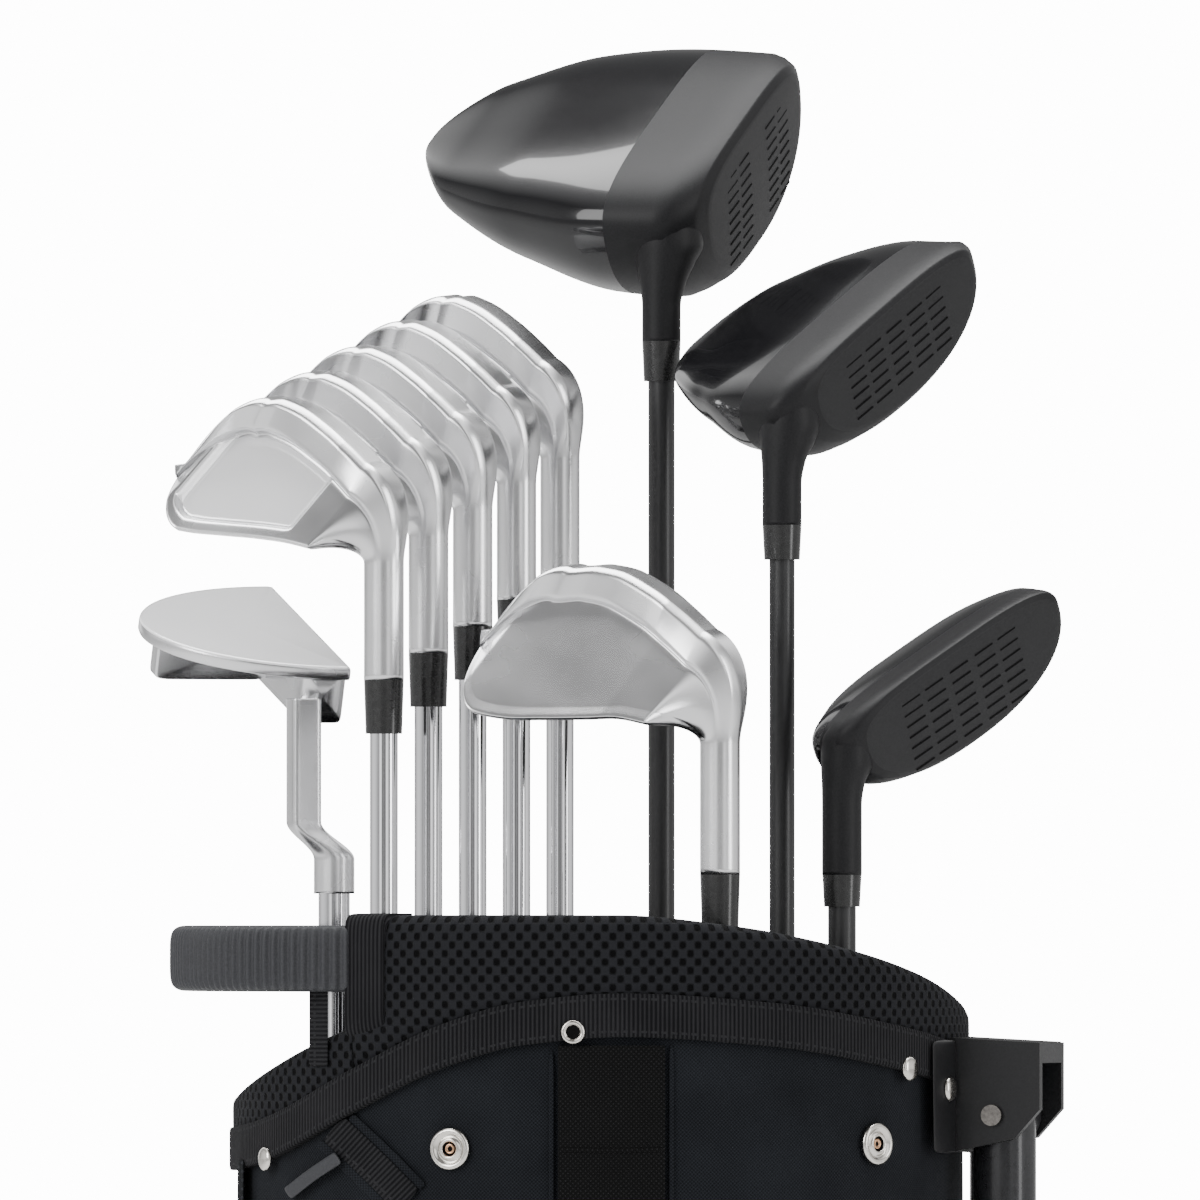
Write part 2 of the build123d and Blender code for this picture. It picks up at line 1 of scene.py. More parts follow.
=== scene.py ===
# %% [markdown]
# # A golf club set in its stand bag
# Ten clubs stand grip down in a padded stand bag. The joints and the shafts' places come from the packed
# frame. The heads' outlines and the bag's drafted contours are typed here, in millimetres. The lesson
# gives the set its looks: satin irons, lacquered woods, plated shafts, cloth and moulded plastic. Every
# new piece is a surface worked out with numpy and put in the frame's own place.

# %% Load the frame
import bpy
import numpy as np
from math import radians, sin, cos, pi, tan
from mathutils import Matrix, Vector


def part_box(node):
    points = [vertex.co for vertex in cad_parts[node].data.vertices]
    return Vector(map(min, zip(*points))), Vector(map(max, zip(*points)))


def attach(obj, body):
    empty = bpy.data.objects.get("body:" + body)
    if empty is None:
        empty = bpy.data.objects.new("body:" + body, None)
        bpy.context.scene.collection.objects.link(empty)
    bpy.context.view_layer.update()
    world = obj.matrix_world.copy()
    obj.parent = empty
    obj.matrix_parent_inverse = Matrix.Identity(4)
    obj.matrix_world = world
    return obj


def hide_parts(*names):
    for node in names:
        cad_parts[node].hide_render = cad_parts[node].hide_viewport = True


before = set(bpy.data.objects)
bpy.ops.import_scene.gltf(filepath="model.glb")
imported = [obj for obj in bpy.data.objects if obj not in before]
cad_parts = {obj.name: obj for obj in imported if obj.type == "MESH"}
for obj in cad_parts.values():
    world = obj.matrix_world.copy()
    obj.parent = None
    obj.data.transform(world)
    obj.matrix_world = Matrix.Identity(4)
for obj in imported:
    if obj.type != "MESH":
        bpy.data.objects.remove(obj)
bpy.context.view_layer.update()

# %% [markdown]
# ## The camera
# A long lens far away keeps upright shafts upright. The camera looks along +Y from the rim's own height
# and less than a degree upward, so that the near side of the collar hides the far side.

# %% Camera
MM = 0.001
RIM_Z = 0.860
VIEW_W = 0.4166667
CAM_FAR = 7.0
SENSOR_MM = 36
LENS_MM = SENSOR_MM * CAM_FAR / VIEW_W
CENTRE = np.array([-0.0004, 0.0, RIM_Z + 0.1094])
LOOK_UP = radians(0.9)


def aim(obj, target):
    """Turn an object so that its -Z axis points at the target."""
    way = Vector(target) - obj.location
    obj.rotation_euler = way.to_track_quat("-Z", "Y").to_euler()


camera_data = bpy.data.cameras.new("camera")
camera_data.lens = LENS_MM
camera_data.clip_end = 60
camera = bpy.data.objects.new("camera", camera_data)
bpy.context.scene.collection.objects.link(camera)
camera.location = (CENTRE[0], -CAM_FAR * cos(LOOK_UP), CENTRE[2] - CAM_FAR * sin(LOOK_UP))
aim(camera, CENTRE)
bpy.context.scene.camera = camera
print("lens", round(LENS_MM), "mm, camera at", [round(q, 3) for q in camera.location])

# %% [markdown]
# ## The world
# Grey and white bands, side by side, light the object and give the plated parts something to reflect.
# The camera itself sees plain bright white in their place, so the background isn't the light that falls
# on the object.

# %% World
SKY_BANDS = [(0.0, 0.30), (0.22, 0.14), (0.42, 2.0), (0.70, 0.30), (1.0, 1.1)]
SKY_SEEN = 14.0
FACTOR, COLOUR_A, COLOUR_B, COLOUR_OUT = 0, 6, 7, 2  # the Mix node's sockets for colours


def set_stops(ramp, stops):
    """Put colour stops, (position, colour) from low to high, on a ramp node."""
    els = ramp.color_ramp.elements
    while len(els) < len(stops):
        els.new(0.5)
    for el, (pos, colour) in zip(els, stops):
        el.position = pos
        el.color = (*colour, 1)


world = bpy.data.worlds.new("studio")
bpy.context.scene.world = world
world.use_nodes = True
sky = world.node_tree
back = sky.nodes["Background"]
direction = sky.nodes.new("ShaderNodeTexCoord")
split_sky = sky.nodes.new("ShaderNodeSeparateXYZ")
fold = sky.nodes.new("ShaderNodeMath")
fold.operation = "ABSOLUTE"
bands = sky.nodes.new("ShaderNodeValToRGB")
seen = sky.nodes.new("ShaderNodeLightPath")
white = sky.nodes.new("ShaderNodeMix")
white.data_type = "RGBA"
sky.links.new(direction.outputs["Generated"], split_sky.inputs["Vector"])
sky.links.new(split_sky.outputs["X"], fold.inputs[0])
sky.links.new(fold.outputs[0], bands.inputs["Fac"])
set_stops(bands, [(spot, (grey,) * 3) for spot, grey in SKY_BANDS])
sky.links.new(seen.outputs["Is Camera Ray"], white.inputs[FACTOR])
sky.links.new(bands.outputs["Color"], white.inputs[COLOUR_A])
white.inputs[COLOUR_B].default_value = (SKY_SEEN, SKY_SEEN, SKY_SEEN, 1)
sky.links.new(white.outputs[COLOUR_OUT], back.inputs["Color"])
back.inputs["Strength"].default_value = 1.0
print("sky bands", len(SKY_BANDS))

# %% [markdown]
# ## The lamps
# Two soft lamps stand in front, left and right, and a wide one hangs above. The camera sees none of them.

# %% Lamps
def area_light(name, place, target, size, size_y, watts):
    """A soft rectangular lamp that the camera doesn't see."""
    data = bpy.data.lights.new(name, "AREA")
    data.shape = "RECTANGLE"
    data.size = size
    data.size_y = size_y
    data.energy = watts
    lamp = bpy.data.objects.new(name, data)
    bpy.context.scene.collection.objects.link(lamp)
    lamp.location = place
    aim(lamp, target)
    lamp.visible_camera = False
    return lamp


lamps = [area_light("key_left", (-2.6, -2.2, 2.4), CENTRE, 1.4, 2.2, 74),
         area_light("fill_right", (2.8, -1.6, 1.6), CENTRE, 0.7, 2.4, 30),
         area_light("top_soft", (0.0, 0.6, 3.4), CENTRE, 2.2, 1.6, 100)]
print("lamps", [lamp.name for lamp in lamps])

# %% [markdown]
# ## Tools for surfaces
# Each shape is a grid of points: rows run along the piece and columns run round it. One helper turns
# such a grid into a mesh, closes it round and caps its ends with a point, so no shell is left open.

# %% Grid to mesh
ROUND = np.linspace(0, 2 * pi, 120, endpoint=False)
COS_R, SIN_R = np.cos(ROUND), np.sin(ROUND)


def powered(x, power):
    """The size of x to a power, with x's sign kept: this squares off a circle's sine and cosine."""
    return np.sign(x) * np.abs(x) ** power


def link(name, verts, faces, smooth=True, uv=None, mats=(), mat_index=None):
    """Make a mesh object from whole arrays of corners and faces."""
    mesh = bpy.data.meshes.new(name)
    mesh.from_pydata(np.asarray(verts, float).tolist(), [], faces)
    mesh.update()
    obj = bpy.data.objects.new(name, mesh)
    bpy.context.scene.collection.objects.link(obj)
    if smooth:
        mesh.polygons.foreach_set("use_smooth", np.ones(len(mesh.polygons), bool))
    for mat in mats:
        mesh.materials.append(mat)
    if mat_index is not None:
        mesh.polygons.foreach_set("material_index", np.asarray(mat_index, np.int32))
    if uv is not None:
        layer = mesh.uv_layers.new(name="uv")
        loops = np.empty(len(mesh.loops), np.int32)
        mesh.loops.foreach_get("vertex_index", loops)
        layer.data.foreach_set("uv", np.asarray(uv, np.float32)[loops].ravel())
    return obj


def grid_faces(rows, cols, wrap):
    """Quads between neighbouring rows and columns; wrap joins the last column to the first."""
    i, j = np.meshgrid(np.arange(rows - 1), np.arange(cols if wrap else cols - 1), indexing="ij")
    k = (j + 1) % cols
    quads = np.stack([i * cols + j, i * cols + k, (i + 1) * cols + k, (i + 1) * cols + j], -1)
    return quads.reshape(-1, 4)


def volume_sign(points, faces):
    """Six times the volume that the faces enclose: its sign says which way they point."""
    p = points[faces]
    total = 0.0
    for a, b, c in ((0, 1, 2), (0, 2, 3)):
        total += np.einsum("ij,ij->i", p[:, a], np.cross(p[:, b], p[:, c])).sum()
    return total


def loft_rings(name, rings, mats, row_mat=None, cap_start=True, cap_end=True, uv=None, smooth=True):
    """A skin over rings of points, shape (rows, cols, 3), each end closed to its own middle."""
    rows, cols, _ = rings.shape
    points = rings.reshape(-1, 3)
    quads = grid_faces(rows, cols, True)
    flip = volume_sign(points - points.mean(0), quads) < 0
    if flip:
        quads = quads[:, ::-1]
    faces = quads.tolist()
    index = None if row_mat is None else np.repeat(row_mat, cols).tolist()
    extra = []
    j = np.arange(cols)
    k = (j + 1) % cols
    for want, row, turn in ((cap_start, 0, not flip), (cap_end, rows - 1, flip)):
        if not want:
            continue
        centre = len(points) + len(extra)
        extra.append(rings[row].mean(0))
        base = row * cols
        pair = (base + k, base + j) if turn else (base + j, base + k)
        faces += np.stack([pair[0], pair[1], np.full(cols, centre)], -1).tolist()
        if index is not None:
            index += [int(row_mat[min(row, len(row_mat) - 1)])] * cols
    if extra:
        points = np.vstack([points, extra])
        if uv is not None:
            uv = np.vstack([uv, np.zeros((len(extra), 2))])
    return link(name, points, faces, smooth, uv, mats, index)


def smoothstep(x, lo=0.0, hi=1.0):
    """0 below lo, 1 above hi, and a soft S between them."""
    t = np.clip((x - lo) / (hi - lo), 0, 1)
    return t * t * (3 - 2 * t)


def curve_through(knots, values, x):
    """A smooth curve through a few known points: monotone cubic, so it never overshoots."""
    knots = np.asarray(knots, float)
    values = np.asarray(values, float)
    step = np.diff(knots)
    slope = np.diff(values) / step
    inner = np.where(slope[:-1] * slope[1:] > 0,
                     2 * slope[:-1] * slope[1:] / (slope[:-1] + slope[1:] + 1e-12), 0)
    grad = np.concatenate([[slope[0]], inner, [slope[-1]]])
    i = np.clip(np.searchsorted(knots, x) - 1, 0, len(step) - 1)
    t = np.clip((x - knots[i]) / step[i], 0, 1)
    a, b = values[i], values[i + 1]
    return ((2 * t**3 - 3 * t**2 + 1) * a + (t**3 - 2 * t**2 + t) * step[i] * grad[i]
            + (-2 * t**3 + 3 * t**2) * b + (t**3 - t**2) * step[i] * grad[i + 1])


# %% [markdown]
# ## Finishes
# Each finish is built from the same few nodes: the place on the object, noise or waves stretched along
# the tool marks or the yarn, and a bump. Constant values sit on the shader's own sockets.

# %% Node helpers
def new_material(name, colour, rough, metal=0.0, coat=0.0, sheen=0.0, specular=0.5):
    """A material with a Principled shader, and its nodes ready to wire."""
    mat = bpy.data.materials.new(name)
    mat.use_nodes = True
    shader = mat.node_tree.nodes["Principled BSDF"]
    shader.inputs["Base Color"].default_value = (*colour, 1)
    shader.inputs["Roughness"].default_value = rough
    shader.inputs["Metallic"].default_value = metal
    shader.inputs["Coat Weight"].default_value = coat
    shader.inputs["Coat Roughness"].default_value = 0.04
    shader.inputs["Sheen Weight"].default_value = sheen
    shader.inputs["Specular IOR Level"].default_value = specular
    return mat


def node(mat, kind, **settings):
    """Add a node and set its inputs or properties by name."""
    n = mat.node_tree.nodes.new(kind)
    for key, value in settings.items():
        if key in n.inputs:
            n.inputs[key].default_value = value
        else:
            setattr(n, key, value)
    return n


def wire(mat, *pairs):
    """Join sockets: each pair is (node, output, node, input)."""
    for a, out, b, inp in pairs:
        mat.node_tree.links.new(a.outputs[out], b.inputs[inp])


def coords(mat, scale=(1, 1, 1), turn=(0, 0, 0), source="Object"):
    """Object or UV coordinates through a Mapping node."""
    texco = node(mat, "ShaderNodeTexCoord")
    mapping = node(mat, "ShaderNodeMapping", Scale=scale, Rotation=turn)
    wire(mat, (texco, source, mapping, "Vector"))
    return mapping


def shader_of(mat):
    """The material's Principled shader."""
    return mat.node_tree.nodes["Principled BSDF"]


def add_bump(mat, source, out, strength, distance, before=None):
    """Push a height through a Bump node into the shader's normal, after another bump if one is given."""
    bump = node(mat, "ShaderNodeBump", Strength=strength, Distance=distance)
    wire(mat, (source, out, bump, "Height"), (bump, "Normal", shader_of(mat), "Normal"))
    if before is not None:
        wire(mat, (before, "Normal", bump, "Normal"))
    return bump


def remap(mat, source, out, lo, hi, to_lo, to_hi):
    """Map Range from one span to another."""
    m = node(mat, "ShaderNodeMapRange")
    m.inputs["From Min"].default_value = lo
    m.inputs["From Max"].default_value = hi
    m.inputs["To Min"].default_value = to_lo
    m.inputs["To Max"].default_value = to_hi
    wire(mat, (source, out, m, "Value"))
    return m


def noise_of(mat, squash=(1, 1, 1), **settings):
    """A noise over the object's own coordinates, each axis scaled by squash."""
    made = node(mat, "ShaderNodeTexNoise", **settings)
    wire(mat, (coords(mat, squash), "Vector", made, "Vector"))
    return made


def rough_from(mat, noise, lo, hi, to_lo, to_hi):
    """Let a noise drive the roughness."""
    wire(mat, (remap(mat, noise, "Fac", lo, hi, to_lo, to_hi), "Result", shader_of(mat), "Roughness"))


def cosine_of(mat, split_node, axis, pitch):
    """Cosine of a UV coordinate with a pitch in millimetres."""
    turns = node(mat, "ShaderNodeMath", operation="MULTIPLY")
    turns.inputs[1].default_value = 2 * pi / pitch
    wave = node(mat, "ShaderNodeMath", operation="COSINE")
    wire(mat, (split_node, axis, turns, 0), (turns, 0, wave, 0))
    return wave


def tint(mat, source, out, stops):
    """A colour ramp into the base colour."""
    ramp = node(mat, "ShaderNodeValToRGB")
    set_stops(ramp, stops)
    wire(mat, (source, out, ramp, "Fac"), (ramp, "Color", shader_of(mat), "Base Color"))
    return ramp


# %% [markdown]
# ## Metal finishes
# Irons are cast, polished and then brushed to an even satin. Shafts are plated mirror-bright, and the
# small hardware is nickel. A fine noise stands for the tools' marks. On the steels it is squashed or
# stretched along Z.

# %% Metals
satin_steel = new_material("satin_steel", (0.66, 0.66, 0.67), 0.30, metal=1.0)
grain = noise_of(satin_steel, (700, 700, 2600), Scale=1.0, Detail=4.0, Roughness=0.6)
cloud = noise_of(satin_steel, Scale=26.0, Detail=3.0)
rough_from(satin_steel, cloud, 0.3, 0.7, 0.22, 0.30)
tint(satin_steel, cloud, "Fac", [(0.3, (0.76, 0.76, 0.77)), (0.7, (0.84, 0.84, 0.85))])
add_bump(satin_steel, grain, "Fac", 0.10, 0.00006)

bright_steel = new_material("bright_steel", (0.95, 0.95, 0.96), 0.2, metal=0.12, coat=0.8)
fine = noise_of(bright_steel, (300, 300, 1800), Scale=1.0, Detail=3.0)
rough_from(bright_steel, fine, 0.3, 0.7, 0.12, 0.22)
add_bump(bright_steel, fine, "Fac", 0.05, 0.00004)

plated = new_material("plated_shaft", (0.80, 0.80, 0.82), 0.07, metal=1.0)
wear = noise_of(plated, (1, 1, 0.15), Scale=60.0, Detail=5.0)
rough_from(plated, wear, 0.35, 0.7, 0.04, 0.13)
add_bump(plated, wear, "Fac", 0.02, 0.0001)

nickel = new_material("nickel", (0.74, 0.71, 0.66), 0.14, metal=1.0)
scuff = noise_of(nickel, Scale=900.0, Detail=4.0)
rough_from(nickel, scuff, 0.3, 0.7, 0.10, 0.28)
add_bump(nickel, scuff, "Fac", 0.06, 0.00008)

brass = new_material("brass_centre", (0.60, 0.36, 0.22), 0.22, metal=1.0)
spots = noise_of(brass, Scale=1200.0, Detail=3.0)
add_bump(brass, spots, "Fac", 0.1, 0.00008)
print("metals", [mat.name for mat in (satin_steel, bright_steel, plated, nickel, brass)])

# %% [markdown]
# ## Lacquers, rubber and moulded plastic
# The woods wear a deep gloss lacquer on the sole and a blasted matte finish round the face. Black is
# never quite black: small changes in roughness give it life under a soft light.

# %% Lacquer, rubber and plastic
def speckled(name, colour, rough_lo, rough_hi, scale, bump, metal=0.0, coat=0.0, squash=(1, 1, 1), light=1.35,
             specular=0.5):
    """A moulded, painted or blasted finish: noise drives the tone, the roughness and a fine bump."""
    mat = new_material(name, colour, rough_lo, metal=metal, coat=coat, specular=specular)
    noise = noise_of(mat, squash, Scale=scale, Detail=5.0, Roughness=0.65)
    rough_from(mat, noise, 0.3, 0.7, rough_lo, rough_hi)
    dark = tuple(c / light for c in colour)
    pale = tuple(min(1.0, c * light) for c in colour)
    tint(mat, noise, "Fac", [(0.3, dark), (0.7, pale)])
    add_bump(mat, noise, "Fac", 0.35, bump)
    return mat


gloss_black = speckled("gloss_lacquer", (0.004, 0.004, 0.005), 0.14, 0.20, 14, 0.000004, coat=0.55, light=1.1,
                       specular=0.2)
matte_black = speckled("blasted_black", (0.010, 0.010, 0.011), 0.42, 0.52, 1600, 0.00003, specular=0.22)
face_black = speckled("face_black", (0.016, 0.016, 0.017), 0.46, 0.58, 1200, 0.00003, specular=0.25)
# Near-black paint for the woods' score lines; on the snaps and the ring rivet it also fills the holes as
# painted shade.
line_paint_and_hole_shade = speckled("score_line_and_hole_shade", (0.002, 0.002, 0.002), 0.7, 0.8, 900, 0.00002, specular=0.1)
ferrule_gloss = speckled("ferrule_gloss", (0.012, 0.012, 0.012), 0.22, 0.32, 500, 0.00002, coat=0.3)
graphite = speckled("satin_shaft", (0.016, 0.016, 0.017), 0.30, 0.38, 300, 0.00001, squash=(1, 1, 0.2))
moulded = speckled("moulded_plastic", (0.010, 0.010, 0.011), 0.36, 0.50, 1400, 0.00005, specular=0.28)
handle_grey = speckled("handle_rubber", (0.036, 0.037, 0.041), 0.50, 0.64, 1500, 0.00006, specular=0.3)
tip_rubber = speckled("tip_rubber", (0.02, 0.02, 0.02), 0.6, 0.75, 700, 0.00008)
leg_paint = speckled("leg_paint", (0.016, 0.016, 0.018), 0.26, 0.36, 400, 0.00001, metal=0.3, coat=0.3)
steel_pin = speckled("steel_pin", (0.16, 0.15, 0.14), 0.28, 0.40, 900, 0.00003, metal=1.0)

# grip: a grid of small dimples moulded into the rubber; the dimples are painted darker than the ridges
# between them, as painted shade
grip_rubber = new_material("grip_rubber", (0.022, 0.022, 0.022), 0.62)
cells = node(grip_rubber, "ShaderNodeTexVoronoi", Scale=1.0)
wire(grip_rubber, (coords(grip_rubber, (420, 420, 420)), "Vector", cells, "Vector"))
add_bump(grip_rubber, cells, "Distance", 0.6, 0.0005)
tint(grip_rubber, cells, "Distance", [(0.2, (0.014, 0.014, 0.014)), (0.8, (0.03, 0.03, 0.031))])
print("materials so far", len(bpy.data.materials))

# %% [markdown]
# ## Where a head sits
# A club head is easiest to draw as it lies on the ground: X to the toe, Y out of the face, Z up from
# the sole. Here the clubs stand upside down with upright shafts, so each head is turned by its lie
# angle and by the way its toe points in plan. The shaft's place comes from the frame. Each finished
# piece is then fitted: it says what it rides on and what it stands for.

# %% Head frames
class Club:
    """A club's place: shaft axis and ferrule from the frame, and its turning from lie and toe angle."""

    def __init__(self, name, toe_deg, lie_deg, sole_mm, top=None):
        low, high = (np.array(p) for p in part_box(name + "_shaft"))
        self.name = name
        self.x, self.y = (low[:2] + high[:2]) / 2
        self.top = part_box(name + "_ferrule")[1][2] if top is None else top
        toe, lie = radians(toe_deg), radians(lie_deg)
        heading = np.array([cos(toe), sin(toe), 0])
        up = np.array([0, 0, 1.0])
        self.heading = heading
        self.toe = heading * sin(lie) + up * cos(lie)
        self.crown = heading * cos(lie) - up * sin(lie)
        self.face = np.cross(self.crown, self.toe)
        self.origin = np.array([self.x, self.y, self.top + sole_mm * MM])
        self.lie = lie

    def place(self, points_mm):
        """Points in the head's own frame, in millimetres, to points in the object's frame."""
        p = np.asarray(points_mm) * MM
        return self.origin + p[..., :1] * self.toe + p[..., 1:2] * self.face + p[..., 2:3] * self.crown


def fit(piece, nodes, body="bag"):
    """The piece rides on its body and stands for its CAD nodes."""
    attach(piece, body)
    if nodes:
        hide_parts(*nodes)
    return piece


# %% [markdown]
# ## The three woods
# A wood is a hollow shell: flat-sided at the face, full just behind it, and drawn out to a low tail.
# It is carried along the depth as rounded sections, from the middle of the face, over the face's
# rolled edge and back to the tail. The neck is a trumpet that grows out of the heel.

# %% Wood shells
SOLE_POWER = 3.4


def section(xc, half, top, low, power, skew):
    """A rounded section: |x/half|^power + |z/height|^power = 1, its widest line at skew of the height.

    Below the widest line the power is SOLE_POWER, so the sole is flatter than the crown.
    Arrays of xc, half, top and low give one ring for each entry, shape (rings, points, 2).
    """
    power = np.where(SIN_R < 0, SOLE_POWER, power)
    ex, ez = powered(COS_R, 2 / power), powered(SIN_R, 2 / power)
    mid = low + (top - low) * skew
    z = mid[:, None] + np.where(ez > 0, (top - mid)[:, None] * ez, (mid - low)[:, None] * ez)
    return np.stack([xc[:, None] + half[:, None] * ex, z], -1)


def wood_shell(club, stations, loft_deg, bulge, band_y, power=2.25, skew=0.34):
    """Rings along the depth: y, x-centre, half length, top and bottom interpolated between stations."""
    s = np.array(stations, float)
    turn = np.linspace(0, pi / 2, 46)
    front = s[0]
    y_back = s[1, 0] + (s[-1, 0] - s[1, 0]) * np.sin(turn)
    y_side = np.concatenate([np.linspace(front[0], s[1, 0], 8)[1:-1], y_back])
    knots = -s[:, 0]
    xc, half, top, low = (curve_through(knots, s[:, k], -y_side) for k in (1, 2, 3, 4))
    tail = s[-1, 0]
    close = np.sqrt(np.clip(1 - ((s[-2, 0] - y_side) / (s[-2, 0] - tail)).clip(0, 1) ** 2, 0, 1))
    mid_z = s[-1, 3]
    half = half * np.where(y_side < s[-2, 0], close, 1)
    top = np.where(y_side < s[-2, 0], mid_z + (top - mid_z) * close, top)
    low = np.where(y_side < s[-2, 0], mid_z + (low - mid_z) * close, low)
    ratio = np.linspace(0.04, 1, 16)
    mid_f = (front[3] + front[4]) / 2
    ring2 = section(np.array([front[1]]), np.array([front[2]]), np.array([front[3]]), np.array([front[4]]),
                    power, skew)[0]
    centre = np.array([front[1], mid_f])
    face2 = centre + (ring2 - centre) * ratio[:, None, None]
    face_y = front[0] + bulge * (1 - ratio ** 2)
    body2 = section(xc, half, top, low, power, skew)
    flat = np.concatenate([face2, body2])
    y = np.concatenate([face_y, y_side])
    lean = tan(radians(loft_deg)) * smoothstep(y, front[0] - 46, front[0] - 2)
    rings = np.stack([flat[..., 0], y[:, None] - (flat[..., 1] - mid_f) * lean[:, None], flat[..., 1]], -1)
    row_mat = np.where(np.arange(len(y) - 1) < len(ratio) - 1, 0, np.where(y[:-1] > band_y, 1, 2))
    lacquers = [face_black, matte_black, gloss_black]
    return loft_rings(club.name + "_shell", club.place(rings), lacquers, row_mat)


def neck_trumpet(club, radii, mat):
    """A round neck along the shaft's axis: radius against height over the ferrule's top, domed at its end.

    As it flares its middle moves toward the toe, so the heel side stays nearly straight.
    """
    at, r = np.array(radii, float).T
    z = at[-1] * np.sin(np.linspace(0, pi / 2, 80))
    radius = curve_through(at, r, z)
    lean = np.maximum.accumulate(radius - radius[0]) * 0.95
    x = club.x + (radius[:, None] * COS_R + lean[:, None] * club.heading[0]) * MM
    y = club.y + (radius[:, None] * SIN_R + lean[:, None] * club.heading[1]) * MM
    zz = np.broadcast_to((club.top + z * MM)[:, None], x.shape)
    return loft_rings(club.name + "_neck", np.stack([x, y, zz], -1), [mat])


DRIVER_STATIONS = [(12, 46, 46, 53, 4), (9.5, 44, 52, 56, 1), (0, 42, 60, 58, -1), (-25, 43, 61, 56, -2),
                   (-60, 45, 54, 44, -1), (-90, 45, 38, 28, 3), (-110, 45, 22, 9, 6)]
FAIRWAY_STATIONS = [(9, 46, 45, 37, 1), (7, 44, 50, 39, -1), (0, 42, 57, 40, -2), (-18, 43, 57, 38, -2),
                    (-44, 45, 48, 30, 0), (-68, 45, 33, 20, 4), (-84, 45, 18, 10, 7)]
HYBRID_STATIONS = [(7, 44, 46, 36, 1), (5.5, 43, 49, 37, -1), (0, 41, 52, 37, -2), (-10, 41, 53, 34, -2),
                   (-22, 45, 43, 27, 0), (-34, 50, 27, 19, 4), (-42, 52, 16, 11, 7)]
driver = Club("driver", 65, 58, 58)
fairway = Club("fairway_wood", 44, 57.5, 52)
hybrid = Club("hybrid", 33, 59.5, 56)
DRIVER_NECK = [(0, 6.8), (12, 6.8), (20, 8), (28, 10.5), (34, 12.5), (40, 12), (47, 8), (51, 1)]
FAIRWAY_NECK = [(0, 6.8), (14, 6.8), (22, 7.6), (29, 9.5), (35, 10.5), (41, 10), (46, 6), (49, 1)]
HYBRID_NECK = [(0, 6.9), (24, 6.9), (31, 7.4), (38, 8.8), (46, 9), (52, 6), (55, 1)]
wood_pieces = {
    "driver": [wood_shell(driver, DRIVER_STATIONS, 10.5, 1.2, -18),
               neck_trumpet(driver, DRIVER_NECK, matte_black)],
    "fairway_wood": [wood_shell(fairway, FAIRWAY_STATIONS, 15, 1.0, -14),
                     neck_trumpet(fairway, FAIRWAY_NECK, matte_black)],
    "hybrid": [wood_shell(hybrid, HYBRID_STATIONS, 21, 0.8, -7),
               neck_trumpet(hybrid, HYBRID_NECK, matte_black)],
}


def score_lines(club, stations, loft_deg, bulge, heights, columns, dash_mm):
    """Painted score lines: thin closed boxes just proud of the bulged face, all in one mesh."""
    front, xc, half, top, low = stations[0]
    mid = (top + low) / 2
    cx, cz = (q.ravel() for q in np.meshgrid(columns, heights))
    corner = np.array([(i, j, k) for i in (-1, 1) for j in (-1, 1) for k in (-1, 1)], float)
    x = cx[:, None] + corner[:, 0] * dash_mm / 2
    z = cz[:, None] + corner[:, 2] * 0.3
    ratio = np.hypot((x - xc) / half, (z - mid) / ((top - low) / 2)).clip(0, 1)
    y = front + bulge * (1 - ratio**2) - (z - mid) * tan(radians(loft_deg)) + corner[:, 1] * 0.25
    box_faces = np.array([(0, 1, 3, 2), (4, 6, 7, 5), (0, 4, 5, 1), (2, 3, 7, 6), (0, 2, 6, 4), (1, 5, 7, 3)])
    faces = (box_faces[None] + 8 * np.arange(len(cx))[:, None, None]).reshape(-1, 4)
    points = club.place(np.stack([x, y, z], -1).reshape(-1, 3))
    if volume_sign(points - points.mean(0), faces) < 0:
        faces = faces[:, ::-1]
    return link(club.name + "_score_lines", points, faces.tolist(), False, None, [line_paint_and_hole_shade])


wood_pieces["driver"].append(score_lines(driver, DRIVER_STATIONS, 10.5, 1.2, np.arange(13, 47, 4.2),
                                         np.array([22, 34, 60, 72]), 9.0))
wood_pieces["fairway_wood"].append(score_lines(fairway, FAIRWAY_STATIONS, 15, 1.0, np.arange(8, 33, 4.2),
                                               np.array([22, 33, 45, 57, 68]), 8.5))
wood_pieces["hybrid"].append(score_lines(hybrid, HYBRID_STATIONS, 21, 0.8, np.arange(7, 33, 4.2),
                                         np.array([20, 31, 43, 55, 66]), 8.5))
for name, made in wood_pieces.items():
    for piece in made:
        fit(piece, [name + "_head"], body=name)
    print(name, "wood head", [len(p.data.polygons) for p in made])

# %% [markdown]
# ## Irons and the wedge
# A cast head is one skin. Its sections start as circles on the hosel, swing about a point just above the
# crotch, open out into the blade's own section (sole, back, cavity, topline, face) and run to a rounded
# toe. The circle and the blade's section share their parameter, so the blend is smooth all the way.

# %% Blade skin
TOE_ROUND = 13


